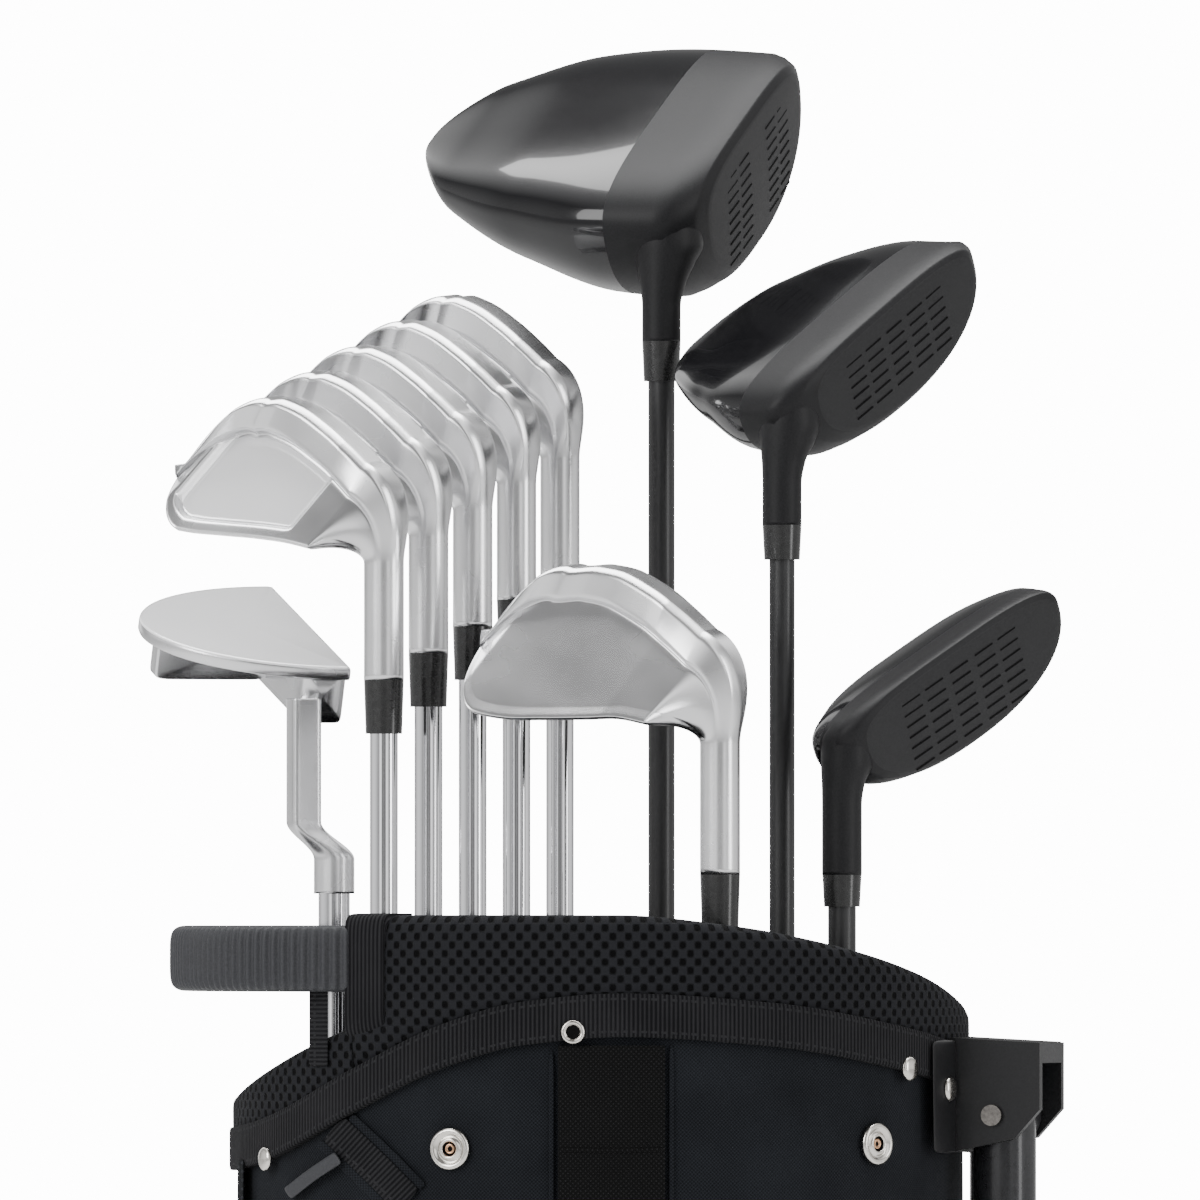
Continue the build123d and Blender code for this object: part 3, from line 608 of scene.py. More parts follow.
def blade_skin(club, top_pts, low_pts, toe_x, toe_z, loft_deg, sole_w, cavity, pivot, hosel_r, top_t):
    """Sections carried from the hosel, about a pivot and along the blade, closed at the toe.

    The section is a closed polygon walked at a fixed share of its length and softened by a narrow
    weighted average; the swing mixes it with a circle by a smoothstep.
    """
    cols = 168
    px, pz = pivot
    toe_start = toe_x - TOE_ROUND
    toe_round = toe_start + TOE_ROUND * np.sin(np.linspace(0.04, 1, 30) * pi / 2)
    x_body = np.concatenate([np.linspace(px, toe_start, 90), toe_round])
    base_x = np.minimum(x_body, toe_start)
    past = (x_body - toe_x + TOE_ROUND).clip(0, TOE_ROUND) / TOE_ROUND
    close = np.sqrt(np.clip(1 - past ** 2, 0.0004, 1))
    top = toe_z + (curve_through(*np.array(top_pts, float).T, base_x) - toe_z) * close
    low = toe_z + (curve_through(*np.array(low_pts, float).T, base_x) - toe_z) * close
    slope = tan(radians(loft_deg))
    front = 4.5
    tall = top - low
    in_cavity = cavity * smoothstep(x_body, px + 9, px + 11.5)
    in_cavity = in_cavity * (1 - smoothstep(x_body, toe_x - 8, toe_x - 4))
    sw = np.minimum(sole_w, 6 + tall * 0.32)
    thick = np.minimum(top_t, 2 + tall * 0.1)
    floor_lo = low + 14
    floor_hi = np.maximum(top - 5.5, floor_lo + 1)
    back = front - 1.2 - thick
    lead = front - slope * low
    keys = [(lead, low + 1.5), (lead - 3, low), (lead - sw + 3, low + 1.2), (lead - sw, low + 3.5),
            (back - slope * (floor_lo - 1) - 2.6, floor_lo - 1.5),
            (back - slope * floor_lo - 1.2, floor_lo - 0.3),
            (back - slope * floor_lo + in_cavity, floor_lo + 0.5),
            (back - slope * floor_hi + in_cavity, floor_hi - 0.5),
            (back - slope * floor_hi - 0.6, floor_hi + 0.3),
            (back - slope * top - 0.2, top - 1.0), (front - slope * top - thick * 0.5, top + 0.3),
            (front - slope * top - 0.4, top - 0.8)]
    ky = np.stack([k[0] * np.ones_like(low) for k in keys] + [keys[0][0] * np.ones_like(low)], 1)
    kz = np.stack([np.clip(k[1], low, top) for k in keys] + [np.clip(keys[0][1], low, top)], 1)
    share = np.array([0, 0.03, 0.13, 0.16, 0.27, 0.29, 0.33, 0.50, 0.54, 0.58, 0.62, 0.66, 1.0])
    t = np.linspace(0, 1, cols, endpoint=False)
    i = np.clip(np.searchsorted(share, t, side="right") - 1, 0, len(share) - 2)
    f = (t - share[i]) / (share[i + 1] - share[i])
    y = ky[:, i] * (1 - f) + ky[:, i + 1] * f
    z = kz[:, i] * (1 - f) + kz[:, i + 1] * f
    for _ in range(2):
        y = 0.25 * np.roll(y, 1, 1) + 0.5 * y + 0.25 * np.roll(y, -1, 1)
        z = 0.25 * np.roll(z, 1, 1) + 0.5 * z + 0.25 * np.roll(z, -1, 1)
    blade = np.stack([np.broadcast_to(x_body[:, None], y.shape), y, z], -1)
    axis = np.array([-cos(club.lie), 0, sin(club.lie)])
    turn = np.interp(t, [0, 0.16, 0.56, 0.66, 1.0], np.radians([45, 135, 225, 315, 405]))
    r_mid = abs(px * axis[2] - pz * axis[0])
    swing = np.linspace(0, 1, 44)
    mix = smoothstep(swing)[:, None]
    start = np.arctan2(-cos(club.lie), -sin(club.lie))
    angle = (start + (-pi / 2 - start) * swing)[:, None]
    ring_r = (r_mid + hosel_r * np.sin(turn)) * (1 - mix) + (pz - z[0]) * mix
    ring_y = hosel_r * np.cos(turn) * (1 - mix) + y[0] * mix
    heel = np.stack([px + ring_r * np.cos(angle), ring_y, pz + ring_r * np.sin(angle)], -1)
    at = px * axis[0] + pz * axis[2]
    length = np.linspace((club.origin[2] - club.top) / MM, at, 24)[:-1]
    across = np.array([-sin(club.lie), 0, -cos(club.lie)])
    tube = (length[:, None, None] * axis + hosel_r * np.sin(turn)[:, None] * across
            + hosel_r * np.cos(turn)[:, None] * np.array([0, 1.0, 0]))
    skin = np.concatenate([tube, heel[:-1], blade])
    rows = len(skin)
    uv = np.stack([np.broadcast_to(skin[..., 0], (rows, cols)), skin[..., 2]], -1).reshape(-1, 2)
    piece = loft_rings(club.name + "_blade", club.place(skin), [satin_steel, bright_steel, groove_steel],
                       np.zeros(rows - 1, int), uv=uv)
    mat = np.zeros((rows - 1, cols), int)
    row_x = skin[:-1, 0, 0]
    first = rows - len(blade)
    is_blade = (np.arange(rows - 1) >= first)
    floor_cols = (t > 0.335) & (t < 0.50)
    face_cols = (t > 0.68) & (t < 0.985)
    floor_rows = is_blade & (row_x > px + 11) & (row_x < toe_x - 5)
    mat[np.ix_(is_blade & (row_x > px + 8) & (row_x < toe_x - 14), face_cols)] = 2
    if cavity:
        mat[np.ix_(floor_rows, floor_cols)] = 1
    index = np.zeros(len(piece.data.polygons), np.int32)
    index[: mat.size] = mat.ravel()
    piece.data.polygons.foreach_set("material_index", index)
    return piece


# %% [markdown]
# ## Iron and wedge heads
# The five irons share one outline and differ in loft. The wedge is taller and has no cavity. The face's
# grooves are a bump of one pitch over the skin's UV map.

# %% Irons and wedge
GROOVE_PITCH = 3.6
groove_steel = new_material("grooved_face", (0.60, 0.60, 0.61), 0.34, metal=1.0)
place_uv = node(groove_steel, "ShaderNodeUVMap", uv_map="uv")
split = node(groove_steel, "ShaderNodeSeparateXYZ")
wire(groove_steel, (place_uv, "UV", split, "Vector"))
groove = remap(groove_steel, cosine_of(groove_steel, split, "Y", GROOVE_PITCH), 0, 0.72, 0.9, 1.0, 0.0)
add_bump(groove_steel, groove, "Result", 0.8, 0.0004)

IRON_TOP = [(4, 32), (12, 34), (22, 37.5), (34, 42.5), (44, 46.5), (52, 48.5), (70, 49)]
IRON_LOW = [(4, -3.0), (12, -5.0), (24, -7.2), (35, -8.2), (43, -7.5), (50, -4), (70, -3)]
WEDGE_TOP = [(4, 34), (12, 36), (22, 41), (34, 47), (46, 52.5), (56, 55), (75, 56)]
WEDGE_LOW = [(4, -3.0), (14, -5.5), (26, -7.8), (38, -8.5), (48, -6.5), (57, -2), (75, 0)]
IRON_LOFT = {"iron_9": 34, "iron_8": 31, "iron_7": 28, "iron_6": 25.5, "iron_5": 23}
blades = {n: Club(n, 155, 62, 71) for n in IRON_LOFT}
blades["wedge"] = Club("wedge", 160, 64, 80)
for name, club in blades.items():
    if name == "wedge":
        piece = blade_skin(club, WEDGE_TOP, WEDGE_LOW, 69, 29, 38, 21, 0.0, (4, 41), 6.9, 6.5)
    else:
        piece = blade_skin(club, IRON_TOP, IRON_LOW, 60, 28, IRON_LOFT[name], 19, 4.2, (4, 37), 6.9, 5.5)
    fit(piece, [name + "_head"], body=name)
print("blades", list(blades), "faces in one", len(piece.data.polygons))

# %% [markdown]
# ## The putter
# A half-round mallet: a thin bright sole plate, a face block and a sight rib on it, and a flat neck that
# bends over to the round hosel. Plate and blocks are milled, so their edges are small and even.

# %% Putter
def rounded_box(name, club, x, y, z, mats, power=10):
    """A milled block: superellipse sections carried along X between rounded ends."""
    s = np.linspace(-1, 1, 41)
    shrink = (1 - np.abs(s) ** 14).clip(0, 1) ** (1 / 14)
    sy, sz = powered(COS_R, 2 / power), powered(SIN_R, 2 / power)
    px = (x[0] + x[1]) / 2 + (x[1] - x[0]) / 2 * s
    ring_y = (y[0] + y[1]) / 2 + (y[1] - y[0]) / 2 * shrink[:, None] * sy
    ring_z = (z[0] + z[1]) / 2 + (z[1] - z[0]) / 2 * shrink[:, None] * sz
    rings = np.stack([np.broadcast_to(px[:, None], ring_y.shape), ring_y, ring_z], -1)[1:-1]
    return loft_rings(name, club.place(rings), mats)


putter = Club("putter", 110, 70.5, 80, top=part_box("putter_shaft")[1][2])
edge_t = np.linspace(0, 1, 101)[:-1]
arc = np.radians(np.linspace(0, -180, 140))
outline = np.concatenate([np.stack([-4 + 90 * edge_t, np.full(100, 5.0)], -1),
                          np.stack([41 + 45 * np.cos(arc), 5 + 62 * np.sin(arc)], -1)[1:-1]])
middle = np.array([41.0, -20.0])
plate_rows = np.array([(0.955, 0.0), (0.985, 0.15), (0.996, 0.7), (1.0, 1.5), (1.0, 4.0), (0.99, 4.8),
                       (0.97, 5.0)])
plate = np.concatenate([middle + (outline - middle) * plate_rows[:, None, :1],
                        np.broadcast_to(plate_rows[:, None, 1:], (len(plate_rows), len(outline), 1))], -1)
sole_plate = loft_rings("putter_plate", putter.place(plate), [bright_steel, satin_steel],
                        np.array([0, 0, 1, 1, 1, 1]))
face_block = rounded_box("putter_face_block", putter, (-3, 85), (-11, 4.9), (1.5, 22), [satin_steel])
sight_rib = rounded_box("putter_rib", putter, (37.5, 44.5), (-52, -10), (2, 19), [satin_steel])
axis_p = np.array([-cos(putter.lie), 0, sin(putter.lie)])
side_p = np.array([sin(putter.lie), 0, cos(putter.lie)])
HOSEL_R = 7.1
along = np.linspace(12, 80, 90)
blend = smoothstep(along, 55, 68)[:, None]
flat_x = 3.5 + 5 * powered(COS_R, 0.3)
flat_y = -10 + 5.25 * powered(SIN_R, 0.3)
nx = flat_x * (1 - blend) + HOSEL_R * COS_R * blend
ny = flat_y * (1 - blend) + HOSEL_R * SIN_R * blend
neck = along[:, None, None] * axis_p + nx[..., None] * side_p + ny[..., None] * np.array([0, 1.0, 0])
putter_neck = loft_rings("putter_neck", putter.place(neck), [satin_steel])
putter_pieces = (sole_plate, face_block, sight_rib, putter_neck)
for piece in putter_pieces:
    fit(piece, ["putter_head"], body="putter")
print("putter pieces", len(putter_pieces))

# %% [markdown]
# ## Cloth finishes
# The bag is woven polyester, its collar a spacer mesh knitted with staggered oval holes, and its tapes
# are grosgrain with fine upright ribs. Each is a product of two cosines over the piece's own UV map,
# which is laid out in millimetres, so the yarn keeps its real pitch on every piece.

# %% Cloth materials
def cloth(name, dark, light, pitch_u, pitch_v, bump, lo, hi, rough=0.86, sheen=0.02, stitches=()):
    """Woven or knitted cloth: a lattice of cosines, a soft mottle, a fuzz bump and optional stitches; the
    tone follows the lattice, so its hollows carry painted shade.
    """
    mat = new_material(name, light, rough, sheen=sheen, specular=0.1)
    uv = node(mat, "ShaderNodeUVMap", uv_map="uv")
    parts = node(mat, "ShaderNodeSeparateXYZ")
    wire(mat, (uv, "UV", parts, "Vector"))
    lattice = cosine_of(mat, parts, "X", pitch_u)
    if pitch_v:
        product = node(mat, "ShaderNodeMath", operation="MULTIPLY")
        wire(mat, (lattice, 0, product, 0), (cosine_of(mat, parts, "Y", pitch_v), 0, product, 1))
        lattice = product
    height = remap(mat, lattice, 0, lo, hi, 0, 1)
    last, out = height, "Result"
    for v in stitches:
        near = node(mat, "ShaderNodeMath", operation="COMPARE")
        near.inputs[1].default_value = v
        near.inputs[2].default_value = 0.4
        dash = node(mat, "ShaderNodeMath", operation="GREATER_THAN")
        dash.inputs[1].default_value = -0.3
        thread = node(mat, "ShaderNodeMath", operation="MULTIPLY")
        both = node(mat, "ShaderNodeMath", operation="ADD")
        wire(mat, (parts, "Y", near, 0), (cosine_of(mat, parts, "X", 3.4), 0, dash, 0), (near, 0, thread, 0),
             (dash, 0, thread, 1), (last, out, both, 0), (thread, 0, both, 1))
        last, out = both, 0
    mottle = noise_of(mat, Scale=42.0, Detail=5.0)
    share = remap(mat, mottle, "Fac", 0.3, 0.7, -0.18, 0.18)
    tone = node(mat, "ShaderNodeMath", operation="ADD")
    wire(mat, (last, out, tone, 0), (share, "Result", tone, 1))
    # The tone follows the lattice's height: raised yarn, ribs and stitches are painted lighter and the
    # hollows darker, which is painted shade; the mottle added to it is the cloth's own uneven tone.
    tint(mat, tone, 0, [(0.05, dark), (0.95, light)])
    fuzz = noise_of(mat, Scale=2200.0, Detail=2.0)
    first = add_bump(mat, fuzz, "Fac", 0.3, 0.00012)
    add_bump(mat, last, out, 0.9, bump, before=first)
    return mat


weave = cloth("woven_polyester", (0.004, 0.0045, 0.006), (0.016, 0.018, 0.022), 1.3, 1.3, 0.00022, -1, 1)
pocket_cloth = cloth("pocket_cloth", (0.004, 0.0045, 0.006), (0.017, 0.019, 0.023), 1.5, 1.5, 0.00025, -1, 1,
                     stitches=(5.0, 9.0))
# In the spacer mesh the lattice's peaks are pushed in as holes and take the near-black end of the ramp:
# painted shade in the holes.
spacer = cloth("spacer_mesh", (0.015, 0.0155, 0.018), (0.0006, 0.0006, 0.0008), 4.8, 5.8, -0.0012, 0.0, 0.55)
grosgrain = cloth("grosgrain", (0.004, 0.004, 0.005), (0.022, 0.022, 0.024), 1.5, None, 0.00035, -1, 1,
                  stitches=(1.9, 13.1))
hook_pile = cloth("hook_pile", (0.003, 0.003, 0.003), (0.016, 0.016, 0.017), 1.7, 1.7, 0.0006, 0.1, 0.8)
strap_cloth = cloth("strap_cloth", (0.004, 0.005, 0.006), (0.018, 0.019, 0.023), 3.0, 3.6, -0.0004, 0.1, 0.7)
print("cloths", [mat.name for mat in (weave, pocket_cloth, spacer, grosgrain, hook_pile, strap_cloth)])

# %% [markdown]
# ## The bag's wall
# Everything sewn to the bag follows its oval wall. A strip of wall is a closed section, rounded outside
# and flat inside, carried round the oval between a lower and an upper contour. The contours are the
# drafted heights of the collar and its band.

# %% Wall strips
BAG_A, BAG_B = 126.0, 116.0
RIM = RIM_Z / MM
BAND = np.array([(-131, -75), (-115, -70.1), (-83.7, -52.4), (-52.4, -36.8), (-26.4, -29.5), (6.6, -26.7),
                 (57.3, -29.9), (103, -38.5), (131, -48)], float)
TOP = np.array([(-131, 0), (-90, 0), (6.6, 0), (46, -3.5), (80, -9.7), (109, -19), (124, -29),
                (131, -44)], float)
NOTCH = np.array([(-131, -68), (-122, -58), (-110, -49.5), (-98, -43), (-84, -37)], float)


def height_at(contour, theta):
    """Height of a contour in millimetres over the ground, at an angle round the oval."""
    return RIM + curve_through(contour[:, 0], contour[:, 1], BAG_A * np.cos(theta))


def wall_strip(name, theta, low, high, inner, outer, mats, power=6.0, cols=60, ripple=0.0, local_v=False):
    """Rounded section (1 - |2v-1|^p)^(1/p) between inner and outer offsets, carried round the oval.

    A ripple, in millimetres, draws the outside in by a soft sum of sines, as cloth does.
    """
    theta = np.asarray(theta)
    low, high, inner, outer = (np.broadcast_to(np.asarray(q, float), theta.shape)[:, None]
                               for q in (low, high, inner, outer))
    v = (1 - np.cos(np.linspace(0, pi, cols))) / 2
    dome = (1 - np.abs(2 * v - 1) ** power).clip(0, 1) ** (1 / power)
    z_out = low + (high - low) * v
    wob = (np.sin(7 * theta[:, None] + z_out / 31) + np.sin(13 * theta[:, None] - z_out / 17)
           + np.sin(z_out / 53 + 3 * np.sin(3 * theta[:, None]))) / 3
    off = inner + (outer - inner) * dome - ripple * (wob * 0.5 + 0.5) * dome
    z = np.concatenate([z_out, z_out[:, ::-1][:, 1:-1]], 1)
    off = np.concatenate([off, np.broadcast_to(inner, off.shape)[:, 1:-1]], 1)
    ring = np.stack([(BAG_A + off) * np.cos(theta)[:, None], (BAG_B + off) * np.sin(theta)[:, None], z], -1)
    arc = np.concatenate([[0], np.cumsum(np.hypot(*np.diff(ring[:, 0, :2], axis=0).T))])
    uv_v = z - low if local_v else z
    uv = np.stack([np.broadcast_to(arc[:, None], z.shape), uv_v], -1).reshape(-1, 2)
    return loft_rings(name, ring * MM, mats, uv=uv)


def wall_tape(name, path, width, out, thick, mats, power=5.0, samples=120):
    """A tape, cord or seam on the front wall: a rounded section carried along a path of (x, height)."""
    path = np.asarray(path, float)
    run = np.concatenate([[0], np.cumsum(np.hypot(*np.diff(path, axis=0).T))])
    s = np.linspace(0, run[-1], samples)
    x, z = (curve_through(run, path[:, k], s) for k in (0, 1))
    dx, dz = np.gradient(x, s), np.gradient(z, s)
    size = np.hypot(dx, dz)
    end = (1 - np.abs(2 * s / run[-1] - 1) ** 40).clip(0.02, 1) ** 0.5
    w = powered(COS_R, 2 / power) * width / 2 * end[:, None]
    h = out + thick / 2 * (1 + powered(SIN_R, 2 / power) * end[:, None])
    px = x[:, None] - (dz / size)[:, None] * w
    pz = z[:, None] + (dx / size)[:, None] * w + RIM
    theta = -np.arccos((px / (BAG_A + h)).clip(-1, 1))
    ring = np.stack([px, (BAG_B + h) * np.sin(theta), pz], -1)
    uv = np.stack([np.broadcast_to(s[:, None], w.shape), w + width / 2], -1).reshape(-1, 2)
    return loft_rings(name, ring * MM, mats, uv=uv)


# %% [markdown]
# ## Collar and wall
# The collar's pad is cut low at the handle, so it is two strips, with a binding at each end of the cut.
# The ribbed band runs all the way round, and the bag's wall hangs below it.

# %% Collar and wall
notch = np.arccos(-84.0 / BAG_A)
main = np.linspace(-notch, notch, 700)
rear = np.linspace(notch + 0.002, 2 * pi - notch - 0.002, 260)
whole = np.linspace(0, 2 * pi, 640)
pad = wall_strip("collar_pad_mesh", main, height_at(BAND, main) - 4, height_at(TOP, main), -11, 2.1, [spacer],
                 power=5, ripple=0.4)
fit(pad, ["collar_pad"])
pad_rear = wall_strip("collar_pad_notch", rear, height_at(BAND, rear) - 4, height_at(NOTCH, rear), -11, 2.1,
                      [spacer], power=5, ripple=0.4)
fit(pad_rear, ["collar_pad"])
band = wall_strip("collar_band", whole, height_at(BAND, whole) - 15, height_at(BAND, whole), 0.0, 3.0,
                  [grosgrain], power=9, cols=30, local_v=True)
fit(band, ["collar_webbing"])
body = wall_strip("bag_wall", whole, 24.0, height_at(BAND, whole) - 3, -3.0, 0.0, [weave], power=40, cols=64,
                  ripple=1.0)
fit(body, ["bag_body"])
for side in (-1, 1):
    edge = side * np.arccos(np.linspace(-86, -73, 40) / BAG_A)
    low_edge = RIM - 43 + 4 * np.linspace(0, 1, 40) ** 2
    strip = wall_strip(f"binding_{'front' if side < 0 else 'back'}", edge, low_edge, RIM + 0.6,
                       -11.4, 3.0, [grosgrain], power=8)
    fit(strip, [])
print("collar and wall", [len(o.data.polygons) for o in (pad, band, body)])

# %% [markdown]
# ## Sewn details on the front
# The hook panel takes the rain hood, a slanted slot carries the strap's webbing with its moulded bar,
# and raised seams join the panels. They lie on the wall, so each follows its curve.

# %% Front details
panel_theta = -np.arccos(np.linspace(-14.5, 21.5, 120) / BAG_A)
panel = wall_strip("hook_strip", panel_theta, 560.0, RIM - 44.5, 0.0, 1.9, [hook_pile], power=20)
fit(panel, ["hook_panel"])
tapes = [
    ("seam_right", [(24, -44), (24, -150), (24, -290)], 1.6, -0.2, 1.0, weave),
    ("panel_seam", [(-14, -80), (3, -80.4), (21, -80)], 1.4, 1.5, 0.8, hook_pile),
    ("seam_left", [(-17, -46), (-17, -150), (-17, -290)], 1.6, -0.2, 1.0, weave),
    ("slot_border_low", [(-97, -78), (-84, -90), (-72, -102)], 3.0, -0.1, 0.9, weave),
    ("slot_border_high", [(-86, -69), (-73, -81), (-61, -93)], 3.0, -0.1, 0.9, weave),
    ("slot_webbing", [(-92, -73), (-78, -86), (-66, -98)], 11.0, -0.1, 1.6, grosgrain),
    ("slot_bar", [(-90, -83), (-99, -89), (-108, -96)], 4.6, 0.4, 3.2, handle_grey),
    ("handle_loop", [(-97, -24), (-97, -38), (-97, -52)], 6.5, 1.2, 1.8, grosgrain),
    ("bracket_flange", [(118.5, -43), (118.7, -62), (119, -82)], 9.0, 3.0, 2.0, moulded),
    ("side_loop", [(-124.5, -84), (-124.6, -100), (-124.5, -140)], 2.4, 0.4, 3.4, strap_cloth),
]
for name, path, width, out, thick, mat in tapes:
    fit(wall_tape(name, path, width, out, thick, [mat]), [])


def lathe_on_wall(name, x, z, out, profile, mats, row_mat=None):
    """A turned piece on the front wall: radius and height over the wall, spun about the wall's normal."""
    spot = np.array([x, -BAG_B * np.sqrt(1 - (x / BAG_A) ** 2), z + RIM])
    normal = np.array([spot[0] / BAG_A**2, spot[1] / BAG_B**2, 0])
    normal /= np.linalg.norm(normal)
    side_way = np.cross([0, 0, 1.0], normal)
    r, h = np.array(profile, float).T
    ring = (spot + (out + h)[:, None, None] * normal + (r[:, None] * COS_R)[..., None] * side_way
            + (r[:, None] * SIN_R)[..., None] * np.array([0, 0, 1.0]))
    return loft_rings(name, ring * MM, mats, row_mat)


RING = [(4.2, 0), (4.2, 0.8), (3.9, 1.5), (3.3, 1.8), (2.7, 1.5), (2.5, 0.9), (0.4, 0.9)]
SNAP = [(7.25, 0), (7.25, 1.2), (6.9, 1.8), (6.1, 2.15), (5.3, 1.8), (4.7, 0.9), (4.1, 0.9), (3.6, 1.8),
        (3.0, 2.1), (2.5, 1.6), (2.4, 0.6), (1.9, 0.6), (1.8, 1.2), (1.1, 1.3), (0.9, 0.6), (0.3, 0.5)]
DOME = [(4.2, 0), (4.2, 0.5), (3.95, 1.0), (3.2, 1.5), (2.0, 1.85), (0.4, 2.0)]
# The snap's inner groove and centre hole, and the ring rivet's hole, wear the near-black line paint: painted
# shade in the hollows.
snap_rows = np.array([0] * 9 + [2] * 2 + [1] * 3 + [2])
ring_rows = np.array([0] * 5 + [1])
for tag, x, z in (("left", -51.4, -79.9), ("right", 94.1, -78.5)):
    snap = lathe_on_wall("snap_" + tag, x, z, 0.0, SNAP, [nickel, brass, line_paint_and_hole_shade], snap_rows)
    fit(snap, ["snap_sockets"])
for tag, x, z in (("left", -113.2, -84.0), ("right", 103.8, -52.8)):
    fit(lathe_on_wall("rivet_" + tag, x, z, 2.6, DOME, [nickel]), ["rivets"])
ring_rivet = lathe_on_wall("ring_rivet", -9.4, -39.9, 2.6, RING, [nickel, line_paint_and_hole_shade], ring_rows)
fit(ring_rivet, ["rivets"])
fit(lathe_on_wall("flange_rivet", 115.5, -60.0, 5.0, DOME, [nickel]), [])
print("tapes", len(tapes), "snaps 2 rivets 3")

# %% [markdown]
# ## The carry handle
# The handle is a moulded half ring with upright grip ribs on its outer side.

# %% Handle
HANDLE_X, HANDLE_Z, HANDLE_HALF_TALL = -84.7, 845.05, 11.4
RIB_PITCH, RIB_DEEP = 3.4, 0.6
turn = np.linspace(pi / 2, 3 * pi / 2, 600)
w = 0.5 + 0.5 * powered(COS_R, 0.45)
z = HANDLE_Z + HANDLE_HALF_TALL * powered(SIN_R, 0.45)
middle_line = np.stack([57 * np.cos(turn), 82 * np.sin(turn)])
arc = np.concatenate([[0], np.cumsum(np.hypot(*np.diff(middle_line, axis=1)))])
rib = RIB_DEEP * np.cos(2 * pi * arc / RIB_PITCH)[:, None] * smoothstep(w, 0.8, 1.0) - RIB_DEEP
hx = (50 + 15.1 * w + rib) * np.cos(turn)[:, None] + HANDLE_X
hy = (75 + 14.0 * w + rib) * np.sin(turn)[:, None]
handle = loft_rings("ribbed_handle", np.stack([hx, hy, np.broadcast_to(z, hx.shape)], -1) * MM, [handle_grey])
fit(handle, ["carry_handle"])
print("handle", len(handle.data.polygons), "faces")

# %% [markdown]
# ## Pockets and strap
# They are padded cloth, drawn full in the middle and drawn in at the stitching. Formulas give their
# fullness and creases, and nothing is simulated.

# %% Pockets and strap
def pocket(name, centre_deg, half_deg, low, high, depth, node_name):
    """A puffed pocket: its depth follows (1 - |s|^4)^(1/2) across and the rounded section up."""
    s_ = np.linspace(-1, 1, 300)
    theta = radians(centre_deg) + radians(half_deg) * s_
    puff = depth * (1 - np.abs(s_) ** 4).clip(0, 1) ** 0.5
    made = wall_strip(name, theta, low, high, 0.4, 0.6 + puff, [pocket_cloth], power=5, cols=80, ripple=1.6,
                      local_v=True)
    return fit(made, [node_name])


pocket("ball_pocket_cloth", -90, 50, 65.0, 335.0, 35, "ball_pocket")
pocket("garment_pocket_cloth", 90, 54, 65.0, 685.0, 31, "garment_pocket")

STRAP_LONG = 330
knots = np.array([0, 45, 145, 265, STRAP_LONG])
run = np.linspace(0, STRAP_LONG, 330)
strap_x = curve_through(knots, [-133, -152.5, -156, -152.5, -133], run)
strap_z = curve_through(knots, [745, 701, 600, 479, 417], run)
crease = 1 - 0.22 * np.abs(np.cos(pi * run / 41)) ** 24
end = (1 - np.abs(2 * run / STRAP_LONG - 1) ** 12).clip(0.03, 1) ** 0.5
across, deep = powered(COS_R, 0.4), powered(SIN_R, 0.7)
sx = strap_x[:, None] + 5.4 * (crease * end)[:, None] * deep
sy = 28.5 * (0.96 + 0.04 * end)[:, None] * across * np.ones_like(sx)
sz = np.broadcast_to(strap_z[:, None], sx.shape)
strap_uv = np.stack([sy + 29, np.broadcast_to(run[:, None], sx.shape)], -1).reshape(-1, 2)
strap = loft_rings("padded_strap", np.stack([sx, sy, sz], -1) * MM, [strap_cloth], uv=strap_uv)
fit(strap, ["shoulder_strap"])
print("strap", len(strap.data.polygons), "faces")

# %% [markdown]
# ## Inner walls
# Thin cloth walls hang from the collar's bars and part the clubs from one another.

# %% Inner walls
WALL_LOW, WALL_HIGH = 28.0, 729.5


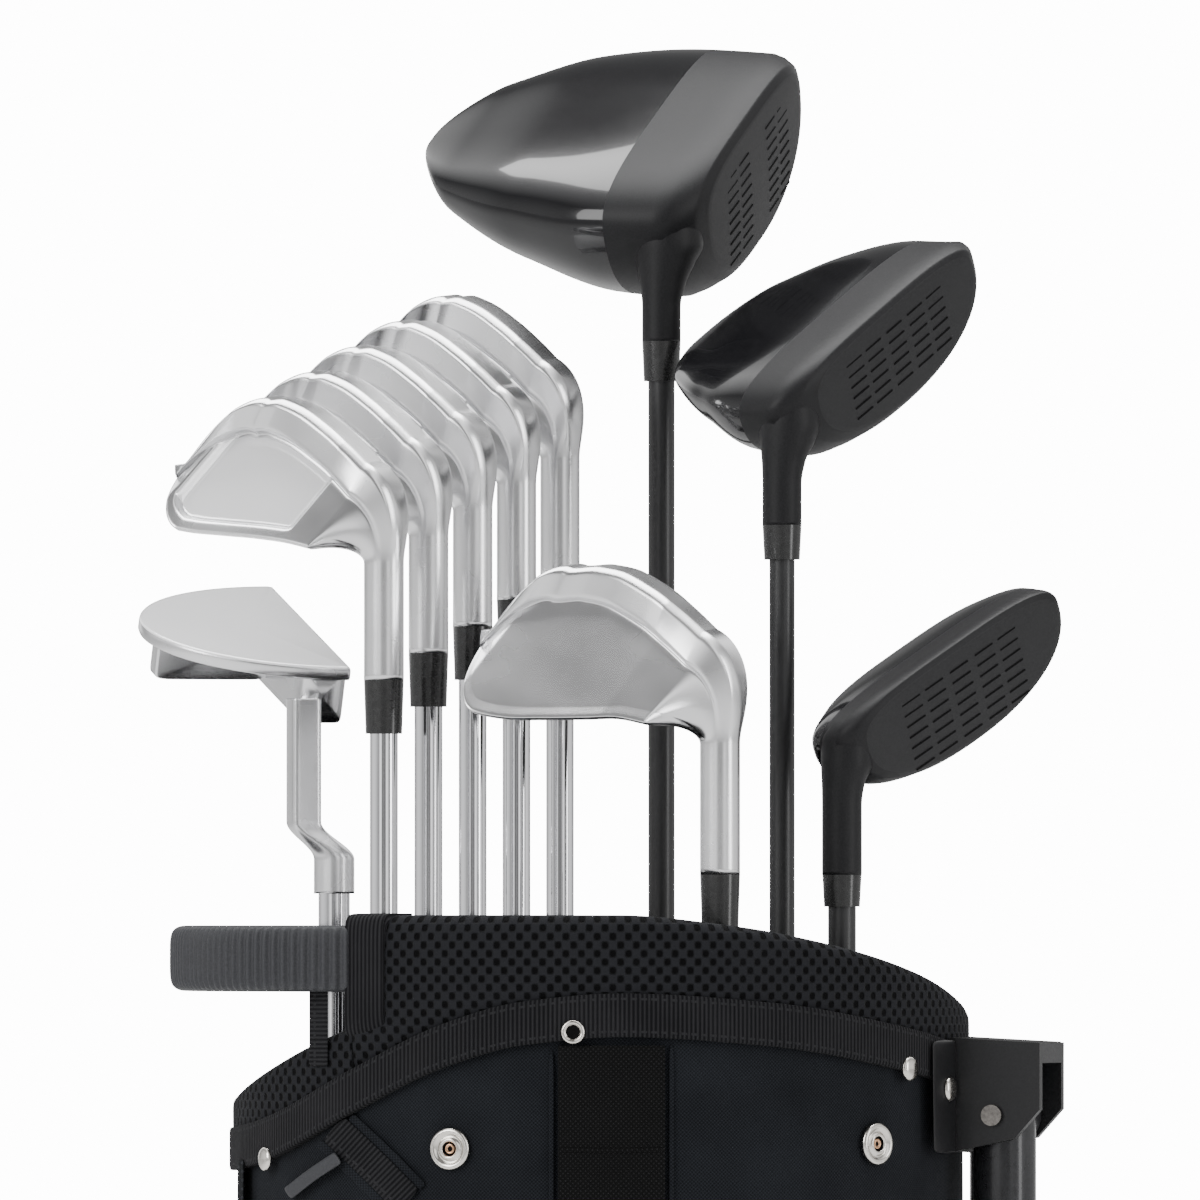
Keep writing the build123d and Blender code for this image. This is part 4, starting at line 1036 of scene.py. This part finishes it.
def hanging_wall(name, start, finish):
    """A thin cloth wall between two points in plan, waving a little as it hangs from its bar."""
    start, finish = np.array(start, float), np.array(finish, float)
    way = (finish - start) / np.linalg.norm(finish - start)
    normal = np.array([-way[1], way[0]])
    s_ = np.linspace(0, 1, 90)
    v = np.linspace(0, 1, 60)
    zz = WALL_LOW + (WALL_HIGH - WALL_LOW) * v
    sway = 1.1 * np.sin(s_[:, None] * 9 + zz / 60) * (1 - v) * np.sin(pi * s_)[:, None]
    base = start + (finish - start) * s_[:, None]
    front = base[:, None] + (sway + 0.8)[..., None] * normal
    back = base[:, None] + (sway - 0.8)[..., None] * normal
    plan = np.concatenate([front, back[:, ::-1]], 1)
    zz = np.broadcast_to(np.concatenate([zz, zz[::-1]]), plan.shape[:2])
    uv = np.stack([np.broadcast_to(s_[:, None] * 200, zz.shape), zz], -1).reshape(-1, 2)
    made = loft_rings(name, np.concatenate([plan, zz[..., None]], -1) * MM, [weave], uv=uv)
    return fit(made, ["divider_panels"])


tilt = np.array([cos(radians(60)), sin(radians(60))])
left_mid = np.array([-70, 5.7])
walls = [hanging_wall("divider_across", (3.5, -113), (3.5, 113)),
         hanging_wall("divider_right", (4.5, 22), (118, 22)),
         hanging_wall("divider_left", left_mid - 74 * tilt, left_mid + 90 * tilt)]
print("walls", [wall.name for wall in walls])

# %% [markdown]
# ## Pieces that keep their drafted shape
# Turned and moulded pieces (shafts, ferrules, grips, legs, brackets, boot and foot) are already true
# in the frame. They take their finishes here: plated steel, satin graphite, dimpled rubber, paint.

# %% Finishes on the frame's own pieces
def finish_nodes(names, mat):
    """Put one finish on each named piece of the frame."""
    for n in names:
        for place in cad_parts[n].material_slots:
            place.material = mat


steel_clubs = ["iron_9", "iron_8", "iron_7", "iron_6", "iron_5", "wedge", "putter"]
wood_clubs = ["driver", "fairway_wood", "hybrid"]
finish_nodes([n + "_shaft" for n in steel_clubs], plated)
finish_nodes([n + "_shaft" for n in wood_clubs], graphite)
finish_nodes([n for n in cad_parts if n.endswith("_ferrule")], ferrule_gloss)
finish_nodes([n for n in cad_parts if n.endswith("_grip")], grip_rubber)
finish_nodes(["collar_frame", "base_boot", "base_foot", "leg_brackets"], moulded)
finish_nodes(["leg_near", "leg_far", "push_rod"], leg_paint)
finish_nodes(["leg_tip_near", "leg_tip_far"], tip_rubber)
finish_nodes(["hinge_pins"], steel_pin)
print("finishes put on", len(steel_clubs + wood_clubs), "clubs, the legs and the moulded pieces")

# %% [markdown]
# ## Floor and finish
# A very large pale floor lies under the bag, out of the main view.

# %% Floor and finish
FLOOR_HALF, FLOOR_DROP = 60, 0.0005
floor_paint = speckled("floor_paint", (0.80, 0.80, 0.80), 0.85, 0.95, 3, 0.0002, light=1.02)
corners = FLOOR_HALF * np.array([(-1, -1, 0), (1, -1, 0), (1, 1, 0), (-1, 1, 0)], float)
floor = link("floor", corners, [[0, 1, 2, 3]], False, None, [floor_paint])
floor.location.z = -FLOOR_DROP
